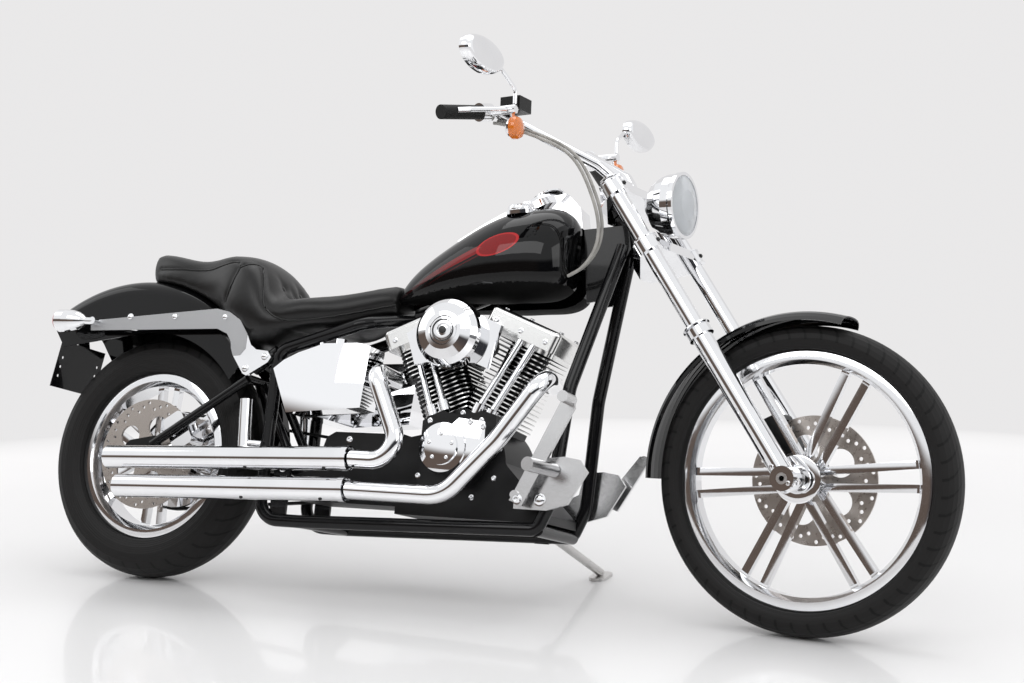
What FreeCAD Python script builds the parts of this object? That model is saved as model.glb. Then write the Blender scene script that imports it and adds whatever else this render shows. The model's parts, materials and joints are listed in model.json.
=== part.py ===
import FreeCAD, Part
import math
import os
import Sketcher

# Chopper motorcycle with an air-cooled V-twin, parked on its side stand.
# Chassis frame: X forward, Y left, Z up, rear axle above the origin, wheels upright and steering
# straight ahead. Fork frame: Z up the steering axis, X forward of it, origin on the axis where the
# square from the front axle meets it. Placements lean, pitch and steer the finished sub-parts.

os.makedirs("parts", exist_ok=True)
Vec = FreeCAD.Vector
doc = FreeCAD.newDocument("ChopperMotorcycle")
sheet = doc.addObject("Spreadsheet::Sheet", "sizes")

SIZES = (
    # stance and steering
    ("wheelbase", 1734), ("rake_degrees", 33.59), ("fork_offset", 55), ("lean_degrees", 15),
    ("steer_degrees", -10.74), ("pin_gap", 0.3), ("seat_gap", 0.3), ("overrun", 20),
    # rear wheel
    ("rear_tyre_radius", 322), ("rear_tyre_width", 134), ("rear_rim_radius", 221),
    ("rear_rim_width", 96), ("rear_bead_radius", 205), ("rear_barrel_radius", 188),
    ("rear_hub_radius", 42), ("rear_hub_width", 124), ("rear_axle_radius", 12.5),
    ("rear_disc_radius", 146), ("rear_disc_offset", 65), ("rear_pulley_radius", 128),
    ("rear_pulley_offset", 73), ("belt_width", 22), ("belt_thickness", 7),
    # front wheel
    ("front_tyre_radius", 343), ("front_tyre_width", 92), ("front_rim_radius", 286),
    ("front_rim_width", 62), ("front_bead_radius", 270), ("front_barrel_radius", 256),
    ("front_hub_radius", 36), ("front_hub_width", 106), ("front_axle_radius", 12.5),
    ("front_disc_radius", 146), ("front_disc_offset", 56), ("disc_thickness", 6),
    ("disc_band", 36), ("disc_hole_radius", 4.5), ("rim_wall", 5), ("spoke_width", 18),
    ("spoke_depth", 20), ("spoke_gap", 17), ("spoke_pairs", 6),
    # fork and steering head
    ("fork_half_spacing", 120), ("slider_radius", 24), ("slider_drop", 26), ("slider_top", 396),
    ("dust_cap_radius", 30), ("dust_cap_height", 26), ("fork_tube_radius", 20.5),
    ("lower_clamp_base", 608), ("clamp_thickness", 34), ("upper_clamp_base", 776),
    ("fork_cap_top", 822), ("clamp_radius", 29), ("stem_radius", 15), ("head_bore_radius", 15.3), ("axle_bore_radius", 6),
    ("axle_fit_radius", 12.5), ("head_tube_radius", 31),
    ("head_gap", 2), ("axle_boss_radius", 27),
    # frame
    ("frame_tube_radius", 16), ("rail_spacing", 120), ("rail_rear_spacing", 112),
    ("down_tube_top_spacing", 30), ("seat_rail_spacing", 102), ("backbone_radius", 27),
    ("rail_front_height", 187), ("rail_rear_height", 168), ("rear_post_x", 400),
    ("rear_post_top", 596), ("strut_stub_x", 332), ("strut_stub_height", 546), ("neck_x", 1275), ("neck_height", 880), ("frame_bend", 70),
    ("down_tube_mid_x", 1196), ("down_tube_mid_height", 520), ("down_tube_foot_x", 1180),
    ("backbone_rear_x", 735), ("backbone_rear_height", 706), ("seat_rail_drop", 100),
    ("neck_plate_thickness", 5), ("rail_front_x", 1150),
    # swingarm
    ("swingarm_tube_radius", 12), ("swingarm_spacing", 112), ("swingarm_top_x", 318),
    ("swingarm_top_height", 522), ("swingarm_pivot_x", 452), ("swingarm_pivot_height", 300),
    ("swingarm_neck_spacing", 74), ("swingarm_brace_spacing", 46), ("pivot_radius", 15),
    ("pivot_plate_thickness", 8), ("pivot_plate_width", 46), ("axle_plate_length", 104),
    ("axle_plate_height", 58), ("axle_plate_thickness", 10),
    # engine
    ("crank_x", 925), ("crank_height", 330), ("v_half_degrees", 22.5), ("barrel_base", 128),
    ("barrel_length", 128), ("barrel_radius", 52), ("fin_size", 148), ("fin_corner", 30),
    ("fin_thickness", 3), ("fin_pitch", 11.5), ("head_height", 78), ("head_fin_size", 168),
    ("rocker_length", 196), ("rocker_width", 152), ("rocker_height", 52), ("rocker_corner", 14),
    ("crankcase_radius", 124), ("crankcase_half_width", 97), ("v_gap", 1.5), ("rocker_overhang", 28),
    ("cam_chest_depth", 39), ("cam_lid_height", 10), ("intake_height", 640), ("manifold_reach", 29),
    ("manifold_radius", 18), ("pushrod_top_offset", 94),
    ("cam_cover_radius", 64), ("cam_cover_depth", 24), ("cam_face_radius", 42),
    ("pushrod_radius", 8.5), ("pushrod_seat_gap", 1.5), ("pushrod_offset", 118), ("lifter_radius", 15), ("lifter_height", 26),
    ("gearbox_length", 298.5), ("gearbox_height", 176), ("gearbox_half_width", 88),
    ("gearbox_x", 471.5), ("gearbox_base", 222), ("primary_depth", 88), ("primary_rear_radius", 92),
    ("primary_front_radius", 74), ("primary_rear_x", 672), ("primary_height", 318),
    ("front_pulley_radius", 62), ("front_pulley_x", 640),
    ("air_cleaner_x", 908), ("air_cleaner_height", 632), ("air_cleaner_radius", 83),
    ("air_cleaner_depth", 62), ("air_cleaner_face", 218), ("intake_radius", 26),
    # exhaust
    ("pipe_radius", 22), ("muffler_radius", 29), ("muffler_offset", 215), ("pipe_offset", 206),
    ("rear_exhaust_height", 318), ("front_exhaust_height", 245), ("muffler_rear_x", -3),
    ("front_muffler_rear_x", 38), ("muffler_front_x", 692), ("muffler_fall", 24), ("tip_wall", 2.5),
    ("tip_depth", 70), ("tip_bore_radius", 26.5), ("port_height", 10), ("port_offset", 50), ("hanger_thickness", 6),
    # bodywork
    ("fender_half_width", 105), ("fender_skin", 3), ("fender_crown_radius", 458),
    ("fender_centre_x", -68), ("fender_centre_height", 335), ("fender_edge", 44),
    ("front_fender_radius", 374), ("front_fender_half_width", 62), ("front_fender_skirt", 24),
    ("front_fender_tilt", 4.5), ("front_fender_half_angle", 53.5), ("caliper_length", 62), ("caliper_height", 96),
    ("caliper_inset", 26), ("running_gap", 5), ("belt_gap", 0.6), ("foot_control_x", 1190), ("foot_control_height", 262),
    ("foot_bracket_size", 108), ("peg_length", 112), ("peg_radius", 16), ("toe_length", 62), ("toe_radius", 13),
    ("peg_mount_height", 352), ("peg_setback", 48), ("gearbox_left", 68),
    ("strut_thickness", 11), ("strut_rear_x", -191), ("strut_length", 586),
    ("strut_base", 526), ("strut_rise", 175), ("boss_radius", 10), ("tail_x", -300), ("tail_height", 602), ("lamp_radius", 31), ("lamp_length", 92),
    ("lamp_spacing", 152), ("lamp_lens_x", -284), ("plate_width", 182),
    ("plate_height", 128), ("plate_thickness", 2.5), ("plate_hole_radius", 4), ("filler_radius", 15), ("inner_fender_radius", 360),
    ("tank_rear_x", 694), ("tank_neck_gap", 107), ("tank_base", 735), ("tank_rise", 240),
    ("tank_half_width", 160), ("tunnel_half_width", 34), ("console_half_width", 58),
    ("oil_tank_x", 428), ("oil_tank_length", 268), ("oil_tank_base", 430), ("oil_tank_rise", 178),
    ("oil_tank_half_width", 172), ("seat_base_clearance", 1), ("seat_rear_x", -62), ("seat_length", 782), ("seat_base", 606),
    ("seat_rise", 270), ("seat_half_width", 150),
    # bars and controls
    ("bar_radius", 12.7), ("grip_radius", 17), ("grip_length", 122), ("riser_height", 36),
    ("riser_spacing", 45), ("riser_setback", 8), ("riser_radius", 14), ("bar_pull", 115), ("bar_rise", 255),
    ("bar_spread", 180), ("bar_end_run", 183), ("bar_bend", 45), ("switch_length", 36), ("switch_radius", 22),
    ("lever_reach", 86), ("perch_radius", 11), ("lever_radius", 6), ("reservoir_size", 54),
    ("mirror_stem_radius", 5), ("mirror_spread", 140), ("mirror_lift", 92), ("headlamp_x", 1423),
    ("headlamp_height", 981), ("mirror_width", 164), ("mirror_height", 84), ("mirror_depth", 26),
    ("headlamp_radius", 80), ("headlamp_length", 96), ("signal_radius", 27), ("signal_drop", 46),
    # side stand
    ("stand_x", 1072), ("stand_spacing", 158), ("stand_height", 196), ("stand_foot_side", 430), ("stand_lead", 58),
    ("stand_leg_radius", 11), ("stand_foot_length", 92), ("stand_foot_width", 46),
    ("stand_foot_thickness", 8), ("stand_pin_radius", 8), ("stand_bore_radius", 8.3), ("stand_boss_radius", 18),
    ("stand_boss_height", 24),
)
for row, (alias, value) in enumerate(SIZES, start=1):
    sheet.set("A%d" % row, alias)
    sheet.set("B%d" % row, str(value))
    sheet.setAlias("B%d" % row, alias)
doc.recompute()


def mm(alias):
    """Value of one named size, read from the sheet."""
    return float(sheet.get(alias))


def degrees_of(alias):
    return math.radians(mm(alias))


X_AXIS = Vec(1, 0, 0)
Y_AXIS = Vec(0, 1, 0)
Z_AXIS = Vec(0, 0, 1)
RIGHT, LEFT = -1, 1
SIDES = ((RIGHT, "right"), (LEFT, "left"))


def move(x=0, y=0, z=0, axis=Z_AXIS, angle=0):
    return FreeCAD.Placement(Vec(x, y, z), FreeCAD.Rotation(axis, angle))


def primitive(kind, name, placement=None, **bound):
    """One Part primitive whose properties follow expressions on the sheet."""
    item = doc.addObject(kind, name)
    for prop, formula in bound.items():
        item.setExpression(prop, formula)
    if placement is not None:
        item.Placement = placement
    doc.recompute([item])
    return item


def cell(alias):
    return "sizes." + alias


def solid_feature(name, shape, placement=None):
    """A Part::Feature for a form that no primitive or sketch gives."""
    item = doc.addObject("Part::Feature", name)
    item.Shape = shape
    if placement is not None:
        item.Placement = placement
    return item


def fuse(name, items):
    joined = doc.addObject("Part::MultiFuse", name)
    joined.Shapes = items
    doc.recompute([joined])
    return joined


def cut(name, base, tool):
    opened = doc.addObject("Part::Cut", name)
    opened.Base = base
    opened.Tool = tool
    doc.recompute([opened])
    return opened


def between(start, end):
    """Placement whose Z axis runs from start towards end."""
    return FreeCAD.Placement(start, FreeCAD.Rotation(Z_AXIS, end - start))


def rod(name, start, end, radius):
    """Round bar from start to end, its radius bound to the sheet."""
    bar = primitive("Part::Cylinder", name, between(start, end), Radius=cell(radius))
    bar.Height = (end - start).Length
    doc.recompute([bar])
    return bar


def rounded_path(points, bends):
    """Wire of straight runs joined by tangent arcs of the given bend radii."""
    edges = []
    here = points[0]
    for corner, ahead, bend in zip(points[1:-1], points[2:], bends):
        back = (here - corner).normalize()
        on = Vec(ahead - corner).normalize()
        half = back.getAngle(on) / 2
        reach = bend / math.tan(half)
        first = corner + back * reach
        last = corner + on * reach
        inward = (back + on).normalize()
        middle = corner + inward * (bend / math.sin(half) - bend)
        edges.append(Part.LineSegment(here, first).toShape())
        edges.append(Part.Arc(first, middle, last).toShape())
        here = last
    edges.append(Part.LineSegment(here, points[-1]).toShape())
    return Part.Wire(edges)


def tube(name, points, radius, bends):
    """Round tube or bar swept along a path of straight runs and arcs."""
    path = doc.addObject("Part::Feature", name + "_path")
    path.Shape = rounded_path(points, bends)
    ring = primitive("Part::Circle", name + "_ring", between(points[0], points[1]), Radius=cell(radius))
    sweep = doc.addObject("Part::Sweep", name)
    sweep.Sections = [ring]
    sweep.Spine = (path, ["Edge%d" % (n + 1) for n in range(len(path.Shape.Edges))])
    sweep.Solid = True
    sweep.Frenet = False
    doc.recompute([sweep])
    return sweep


def origin_plane(body, role):
    return next(feature for feature in body.Origin.OriginFeatures if feature.Role == role)


def new_body(name, placement=None):
    body = doc.addObject("PartDesign::Body", name)
    if placement is not None:
        body.Placement = placement
    return body


def new_sketch(body, name, role, offset=0):
    sketch = body.newObject("Sketcher::SketchObject", name)
    sketch.AttachmentSupport = [(origin_plane(body, role), "")]
    sketch.MapMode = "FlatFace"
    sketch.AttachmentOffset = move(z=offset)
    return sketch


def draw_outline(sketch, points):
    """Closed outline of straight lines through the points."""
    for start, end in zip(points, points[1:] + points[:1]):
        sketch.addGeometry(Part.LineSegment(Vec(*start, 0), Vec(*end, 0)))


def draw_circle(sketch, x, y, radius):
    sketch.addGeometry(Part.Circle(Vec(x, y, 0), Z_AXIS, radius))


def draw_rounded_box(sketch, width, height, corner, x=0, y=0):
    """Rectangle with round corners, centred at x, y."""
    right, top = width / 2, height / 2
    inner_x, inner_y = right - corner, top - corner
    lines = (((-inner_x, -top), (inner_x, -top)), ((right, -inner_y), (right, inner_y)),
             ((inner_x, top), (-inner_x, top)), ((-right, inner_y), (-right, -inner_y)))
    for start, end in lines:
        sketch.addGeometry(Part.LineSegment(Vec(x + start[0], y + start[1], 0),
                                            Vec(x + end[0], y + end[1], 0)))
    corners = ((inner_x, -inner_y, -90), (inner_x, inner_y, 0), (-inner_x, inner_y, 90),
               (-inner_x, -inner_y, 180))
    for cx, cy, start_angle in corners:
        circle = Part.Circle(Vec(x + cx, y + cy, 0), Z_AXIS, corner)
        arc = Part.ArcOfCircle(circle, math.radians(start_angle), math.radians(start_angle + 90))
        sketch.addGeometry(arc)


def pad(body, sketch, name, length, reverse=False, both=False):
    """Pad of a sketch whose length is a formula on the sheet or a plain number."""
    feature = body.newObject("PartDesign::Pad", name)
    feature.Profile = sketch
    if isinstance(length, str):
        feature.setExpression("Length", length)
    else:
        feature.Length = length
    feature.Reversed = reverse
    feature.Midplane = both
    doc.recompute([body])
    return feature


def pocket(body, sketch, name, length, reverse=False, both=False):
    feature = body.newObject("PartDesign::Pocket", name)
    feature.Profile = sketch
    feature.setExpression("Length", length)
    feature.Reversed = reverse
    feature.Midplane = both
    doc.recompute([body])
    return feature


def revolve(body, sketch, name, axis):
    feature = body.newObject("PartDesign::Revolution", name)
    feature.Profile = sketch
    feature.ReferenceAxis = (sketch, [axis])
    feature.Angle = 360
    doc.recompute([body])
    return feature


def polar_pattern(body, name, originals, sketch, count):
    feature = body.newObject("PartDesign::PolarPattern", name)
    feature.Originals = originals
    feature.Axis = (sketch, ["N_Axis"])
    feature.Angle = 360
    feature.Occurrences = int(count)
    body.Tip = feature
    doc.recompute([body])
    return feature


def turned(name, outline, placement=None):
    """Body of revolution about its own Z axis from (radius, height) points."""
    body = new_body(name, placement)
    sketch = new_sketch(body, name + "_profile", "XZ_Plane")
    draw_outline(sketch, outline)
    revolve(body, sketch, name + "_turn", "V_Axis")
    return body


def plate(name, outline, thickness, placement=None, reverse=False, both=False):
    """Flat body in the XZ plane, padded towards -Y, or +Y when reversed."""
    body = new_body(name, placement)
    sketch = new_sketch(body, name + "_outline", "XZ_Plane")
    draw_outline(sketch, outline)
    pad(body, sketch, name + "_pad", thickness, reverse, both)
    return body


def mirrored(name, source):
    """Mirror image of a finished sub-part across the chassis centre plane."""
    image = doc.addObject("Part::Mirroring", name)
    image.Source = source
    image.Base = Vec(0, 0, 0)
    image.Normal = Y_AXIS
    doc.recompute([image])
    return image


def shares_to_points(shares, x0, z0, length, height):
    return [(x0 + a * length, z0 + b * height) for a, b in shares]


rake = degrees_of("rake_degrees")
front_axle = Vec(mm("wheelbase"), 0, mm("front_tyre_radius"))
rear_axle = Vec(0, 0, mm("rear_tyre_radius"))
steering_up = Vec(-math.sin(rake), 0, math.cos(rake))
steering_ahead = Vec(math.cos(rake), 0, math.sin(rake))
steering_foot = front_axle - steering_ahead * mm("fork_offset")


def lean_placement(pitch):
    """Lean to the left, then a small nose-up or nose-down turn that seats both tyres."""
    lean = FreeCAD.Rotation(X_AXIS, -mm("lean_degrees"))
    nod = FreeCAD.Rotation(Y_AXIS, pitch)
    return FreeCAD.Placement(Vec(0, 0, 0), lean.multiply(nod))


def tyre_outline(prefix):
    """Closed (across, radius) section of one tyre, bead seat on the rim, round tread."""
    bead, lip = mm(prefix + "_bead_radius"), mm(prefix + "_rim_radius")
    tread = mm(prefix + "_tyre_radius")
    seat = mm(prefix + "_rim_width") / 2 - mm("rim_wall")
    half = mm(prefix + "_tyre_width") / 2
    wall = tread - lip
    side = [(seat, bead), (seat, lip)]
    side += [(half * across, lip + wall * up) for across, up in TYRE_SECTION_SHARES]
    mirror = [(-across, radius) for across, radius in reversed(side)]
    return side + [(0, tread)] + mirror


TYRE_SECTION_SHARES = ((0.86, 0.07), (0.97, 0.27), (1.0, 0.45), (0.96, 0.64), (0.82, 0.81),
                       (0.59, 0.92), (0.31, 0.98))


def tyre_bottom(prefix, centre, axis):
    """Lowest point of a tyre with the given wheel centre and axis."""
    level = math.sqrt(1 - axis.z ** 2)
    return min(centre.z + across * axis.z - radius * level for across, radius in tyre_outline(prefix))


fork_straight = FreeCAD.Placement(steering_foot, FreeCAD.Rotation(Y_AXIS, -mm("rake_degrees")))
fork_turned = fork_straight.multiply(move(angle=mm("steer_degrees")))
front_centre = fork_turned.multVec(Vec(mm("fork_offset"), 0, 0))
front_direction = fork_turned.Rotation.multVec(Y_AXIS)


def standing_placement():
    """Chassis placement with both tyres touching the floor."""
    pitch = 0
    for _ in range(8):
        turn = lean_placement(pitch)
        rear_low = tyre_bottom("rear", turn.multVec(rear_axle), turn.Rotation.multVec(Y_AXIS))
        front_low = tyre_bottom("front", turn.multVec(front_centre), turn.Rotation.multVec(front_direction))
        pitch += math.degrees((front_low - rear_low) / mm("wheelbase"))
    turn.Base = Vec(0, 0, -rear_low)
    return turn


chassis_placement = standing_placement()
fork_placement = chassis_placement.multiply(fork_turned)
nodes = []


def node(item, label, group):
    """Name a finished sub-part and stand it with its body."""
    item.Label = label
    item.Placement = group.multiply(item.Placement)
    nodes.append(item)
    return item


def wheel_centre(prefix):
    if prefix == "rear":
        return move(*rear_axle)
    return move(mm("fork_offset"))


def wheel_group(prefix):
    return chassis_placement if prefix == "rear" else fork_placement


def build_tyre(prefix):
    body = new_body(prefix + "_tyre", wheel_centre(prefix))
    sketch = new_sketch(body, prefix + "_tyre_section", "YZ_Plane")
    draw_outline(sketch, tyre_outline(prefix))
    revolve(body, sketch, prefix + "_tyre_turn", "H_Axis")
    return node(body, prefix + "_tyre", wheel_group(prefix))


def build_rim(prefix):
    """Cast wheel: barrel with lips, drop centre, paired spokes and a bored hub."""
    half, wall = mm(prefix + "_rim_width") / 2, mm("rim_wall")
    lip, bead = mm(prefix + "_rim_radius"), mm(prefix + "_bead_radius")
    barrel, hub = mm(prefix + "_barrel_radius"), mm(prefix + "_hub_radius")
    seat = half - wall
    body = new_body(prefix + "_rim", wheel_centre(prefix))
    section = new_sketch(body, prefix + "_rim_section", "YZ_Plane")
    right = [(half, lip), (seat, lip), (seat, bead), (seat - 2 * wall, bead),
             (seat - 3 * wall, barrel + wall)]
    left = [(-a, b) for a, b in reversed(right)]
    inner = [(-half, bead - wall), (-seat + 2 * wall, barrel), (seat - 2 * wall, barrel),
             (half, bead - wall)]
    draw_outline(section, right + left + inner)
    revolve(body, section, prefix + "_barrel", "H_Axis")
    hub_sketch = new_sketch(body, prefix + "_hub_face", "XZ_Plane")
    draw_circle(hub_sketch, 0, 0, hub)
    pad(body, hub_sketch, prefix + "_hub", cell(prefix + "_hub_width"), both=True)
    spokes = new_sketch(body, prefix + "_spoke_face", "XZ_Plane")
    half_gap, width = mm("spoke_gap") / 2, mm("spoke_width")
    for side in (RIGHT, LEFT):
        inner_x, outer_x = side * half_gap, side * (half_gap + width)
        flare_x = outer_x + side * half_gap
        draw_outline(spokes, [(inner_x, hub - wall), (outer_x, hub - wall),
                              (flare_x, barrel + wall / 2), (inner_x + side * half_gap, barrel + wall / 2)])
    pad(body, spokes, prefix + "_spoke_pair", cell("spoke_depth"), both=True)
    polar_pattern(body, prefix + "_spokes", [body.Tip], spokes, mm("spoke_pairs"))
    bore = new_sketch(body, prefix + "_bore_face", "XZ_Plane")
    draw_circle(bore, 0, 0, mm(prefix + "_axle_radius") + mm("pin_gap"))
    pocket(body, bore, prefix + "_bore", cell(prefix + "_hub_width") + " + sizes.overrun", both=True)
    return node(body, prefix + "_rim", wheel_group(prefix))


def build_disc(prefix, side):
    """Drilled brake disc with a bolted carrier that sits on the hub end."""
    offset = side * mm(prefix + "_disc_offset")
    centre = wheel_centre(prefix).multiply(move(0, offset, 0))
    body = new_body(prefix + "_disc", centre)
    face = new_sketch(body, prefix + "_disc_face", "XZ_Plane")
    outer = mm(prefix + "_disc_radius")
    inner = mm(prefix + "_axle_radius") + 2 * mm("rim_wall")
    draw_circle(face, 0, 0, outer)
    draw_circle(face, 0, 0, inner)
    pad(body, face, prefix + "_disc_plate", cell("disc_thickness"), both=True)
    holes = new_sketch(body, prefix + "_disc_holes", "XZ_Plane")
    band = mm("disc_band")
    for step in range(3):
        radius = outer - band * (0.25 + 0.25 * step)
        angle = math.radians(8 * step)
        draw_circle(holes, radius * math.cos(angle), radius * math.sin(angle), mm("disc_hole_radius"))
    pocket(body, holes, prefix + "_disc_drilling", "sizes.disc_thickness + sizes.overrun", both=True)
    polar_pattern(body, prefix + "_disc_pattern", [body.Tip], holes, 15)
    windows = new_sketch(body, prefix + "_disc_windows", "XZ_Plane")
    middle = (outer - band + mm(prefix + "_hub_radius")) / 2
    draw_circle(windows, middle, 0, (outer - band - mm(prefix + "_hub_radius")) / 2 - mm("rim_wall"))
    pocket(body, windows, prefix + "_disc_window", "sizes.disc_thickness + sizes.overrun", both=True)
    polar_pattern(body, prefix + "_disc_lightening", [body.Tip], windows, 5)
    return node(body, prefix + "_disc", wheel_group(prefix))


def build_rear_pulley():
    """Belt pulley with a dished web and the boss that seats on the left hub end."""
    body = new_body("rear_pulley", wheel_centre("rear"))
    face = new_sketch(body, "pulley_section", "YZ_Plane")
    hub_end, start = mm("rear_hub_width") / 2, mm("rear_pulley_offset")
    band, radius, wall = mm("belt_width"), mm("rear_pulley_radius"), mm("rim_wall")
    hub, bore = mm("rear_hub_radius"), mm("rear_axle_radius") + 2 * wall
    middle = start + band / 2
    draw_outline(face, [(hub_end, bore), (hub_end, hub), (start, hub + 2 * wall), (start, radius),
                        (start + band, radius), (start + band, radius - 2 * wall), (middle, radius - 3 * wall),
                        (middle, hub), (middle + wall, hub - wall), (middle + wall, bore)])
    revolve(body, face, "pulley_turn", "H_Axis")
    return node(body, "rear_pulley", chassis_placement)


def build_axle(prefix, reach, group, centre):
    """Wheel axle with a hexagon-like head at each end, through both carriers."""
    start = centre.multVec(Vec(0, -reach, 0))
    finish = centre.multVec(Vec(0, reach, 0))
    shaft = rod(prefix + "_axle_shaft", start, finish, prefix + "_axle_radius")
    bore = rod(prefix + "_axle_bore", start - Y_AXIS * mm("overrun"), finish + Y_AXIS * mm("overrun"),
               "axle_bore_radius")
    return node(cut(prefix + "_axle_tube", shaft, bore), prefix + "_axle", group)


def fork_leg(side, name):
    """Chrome slider with axle boss and dust cap, and the fixed tube up to its cap."""
    x, y = mm("fork_offset"), side * mm("fork_half_spacing")
    drop, top = mm("slider_drop"), mm("slider_top")
    outer, inner = mm("slider_radius"), mm("fork_tube_radius")
    cap, cap_height = mm("dust_cap_radius"), mm("dust_cap_height")
    chamfer = mm("rim_wall")
    outline = [(0, -drop), (outer - chamfer, -drop), (outer, -drop + chamfer),
               (outer, top - cap_height), (cap, top - cap_height), (cap, top - chamfer),
               (cap - chamfer, top), (inner, top), (inner, mm("fork_cap_top") - chamfer),
               (inner - chamfer, mm("fork_cap_top")), (0, mm("fork_cap_top"))]
    leg = turned(name + "_leg", outline, move(x, y))
    boss = rod(name + "_boss", Vec(x, side * (abs(y) - outer), 0), Vec(x, side * (abs(y) + outer + chamfer), 0),
               "axle_boss_radius")
    bore = rod(name + "_boss_bore", Vec(x, 0, 0), Vec(x, side * (abs(y) + 3 * outer), 0), "axle_fit_radius")
    return node(cut(name, fuse(name + "_casting", [leg, boss]), bore), name, fork_placement)


def clamp_plate(name, base):
    """One triple clamp: two split rings and the web that joins them to the stem."""
    x, y = mm("fork_offset"), mm("fork_half_spacing")
    thickness, ring = mm("clamp_thickness"), mm("clamp_radius")
    stem_eye = mm("head_tube_radius")
    body = new_body(name, move(z=base))
    sketch = new_sketch(body, name + "_outline", "XY_Plane")
    web = ring * 0.75
    draw_outline(sketch, [(x + web, y), (x - web, y + web), (-stem_eye, stem_eye), (-stem_eye, -stem_eye),
                          (x - web, -y - web), (x + web, -y)])
    pad(body, sketch, name + "_web", thickness)
    items = [body]
    for side, label in SIDES:
        items.append(rod(name + "_ring_" + label, Vec(x, side * y, base), Vec(x, side * y, base + thickness),
                         "clamp_radius"))
    return items


def build_triple_clamps():
    """Lower and upper clamp on one stem, bored for the fork tubes."""
    lower, upper = mm("lower_clamp_base"), mm("upper_clamp_base")
    top = upper + mm("clamp_thickness")
    items = clamp_plate("lower_clamp", lower) + clamp_plate("upper_clamp", upper)
    items.append(rod("steering_stem", Vec(0, 0, lower), Vec(0, 0, top + mm("rim_wall")), "stem_radius"))
    solid = fuse("clamps_solid", items)
    bores = []
    for side, label in SIDES:
        x, y = mm("fork_offset"), side * mm("fork_half_spacing")
        bores.append(rod("clamp_bore_" + label, Vec(x, y, lower - mm("overrun")),
                         Vec(x, y, top + mm("overrun")), "fork_tube_radius"))
    return node(cut("triple_clamps", solid, fuse("clamp_bores", bores)), "triple_clamps", fork_placement)


def seat_rail(side):
    """Straight run of one seat rail, from the top of the rear post to its bend under the tank."""
    back = Vec(mm("rear_post_x"), side * mm("rail_rear_spacing"), mm("rear_post_top"))
    front = Vec(mm("backbone_rear_x") - mm("seat_rail_drop"), side * mm("seat_rail_spacing"),
                mm("backbone_rear_height") - mm("seat_rail_drop") / 3)
    return back, front


def build_frame():
    """Twin cradle, backbone, seat rails, rear posts, head tube, neck and pivot plates."""
    items = []
    radius, bend = mm("frame_tube_radius"), mm("frame_bend")
    top_spacing, rail, rear = mm("down_tube_top_spacing"), mm("rail_spacing"), mm("rail_rear_spacing")
    spine_rear = Vec(mm("backbone_rear_x"), 0, mm("backbone_rear_height"))
    neck = Vec(mm("neck_x"), 0, mm("neck_height"))
    pivot_x, post_x = mm("swingarm_pivot_x"), mm("rear_post_x")
    for side, label in SIDES:
        cradle = [Vec(neck.x, side * top_spacing, neck.z),
                  Vec(mm("down_tube_mid_x"), side * (rail - radius), mm("down_tube_mid_height")),
                  Vec(mm("down_tube_foot_x"), side * rail, mm("rail_front_height") + bend),
                  Vec(mm("rail_front_x"), side * rail, mm("rail_front_height")),
                  Vec(pivot_x + bend, side * rail, mm("rail_rear_height")),
                  Vec(post_x, side * rear, mm("rail_rear_height")),
                  *seat_rail(side), spine_rear]
        items.append(tube("cradle_" + label, cradle, "frame_tube_radius",
                          [bend * share for share in CRADLE_BEND_SHARES]))
        stub_end = Vec(mm("strut_stub_x"), side * rear, mm("strut_stub_height"))
        items.append(rod("strut_stub_" + label, Vec(post_x, side * rear, mm("rear_post_top")), stub_end,
                         "frame_tube_radius"))
        half = mm("pivot_plate_width") / 2
        low, high = mm("rail_rear_height"), mm("swingarm_pivot_height") + half
        ear = plate("pivot_plate_" + label, [(pivot_x - half, low), (pivot_x + half, low), (pivot_x + half, high),
                                             (pivot_x - half, high)], cell("pivot_plate_thickness"),
                    move(0, side * (rear - mm("pivot_plate_thickness"))), reverse=side == LEFT)
        items.append(ear)
        neck_outline = [(neck.x + a * bend, neck.z + b * bend) for a, b in NECK_PLATE_SHARES]
        items.append(plate("neck_plate_" + label, neck_outline, cell("neck_plate_thickness"),
                           move(0, side * top_spacing), reverse=side == LEFT))
    items.append(rod("backbone", spine_rear, neck + Vec(0, 0, radius), "backbone_radius"))
    for label, x, y, z in (("front", mm("rail_front_x"), rail, mm("rail_front_height")),
                           ("middle", pivot_x + bend, rail, mm("rail_rear_height"))):
        items.append(rod("cross_tube_" + label, Vec(x, -y, z), Vec(x, y, z), "frame_tube_radius"))
    head_low = mm("lower_clamp_base") + mm("clamp_thickness") + mm("head_gap")
    head_high = mm("upper_clamp_base") - mm("head_gap")
    low, high = (fork_straight.multVec(Vec(0, 0, z)) for z in (head_low, head_high))
    items.append(rod("head_tube", low, high, "head_tube_radius"))
    items += stand_bracket()
    solid = fuse("frame_solid", items)
    step = steering_up * mm("overrun")
    bore = rod("head_bore", low - step, high + step, "head_bore_radius")
    return node(cut("frame", solid, bore), "frame", chassis_placement)


CRADLE_BEND_SHARES = (1.6, 0.9, 0.35, 1.0, 0.8, 0.6, 0.9)
NECK_PLATE_SHARES = ((-1.45, 0.62), (0.15, 0.75), (0.30, -0.1), (-0.55, -1.9), (-1.15, -2.0))


def stand_axis_frame():
    """Placement of the stand's hinge: Z up the pin, origin at the leg's root, deployed."""
    root = Vec(mm("stand_x"), mm("stand_spacing"), mm("stand_height"))
    leg = stand_foot_point() - root
    folded = Vec(-1, STAND_FOLD_SHARES[0], STAND_FOLD_SHARES[1])
    up = leg.cross(folded).normalize()
    return root, leg, up


STAND_FOLD_SHARES = (0.10, 0.03)


def stand_foot_point():
    """Centre of the stand's foot on the floor, in the chassis frame."""
    inverse = chassis_placement.inverse()
    floor_point = Vec(mm("stand_x") + mm("stand_lead"), mm("stand_foot_side"),
                      mm("stand_foot_thickness") + mm("stand_leg_radius") / 2)
    return inverse.multVec(floor_point)


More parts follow.
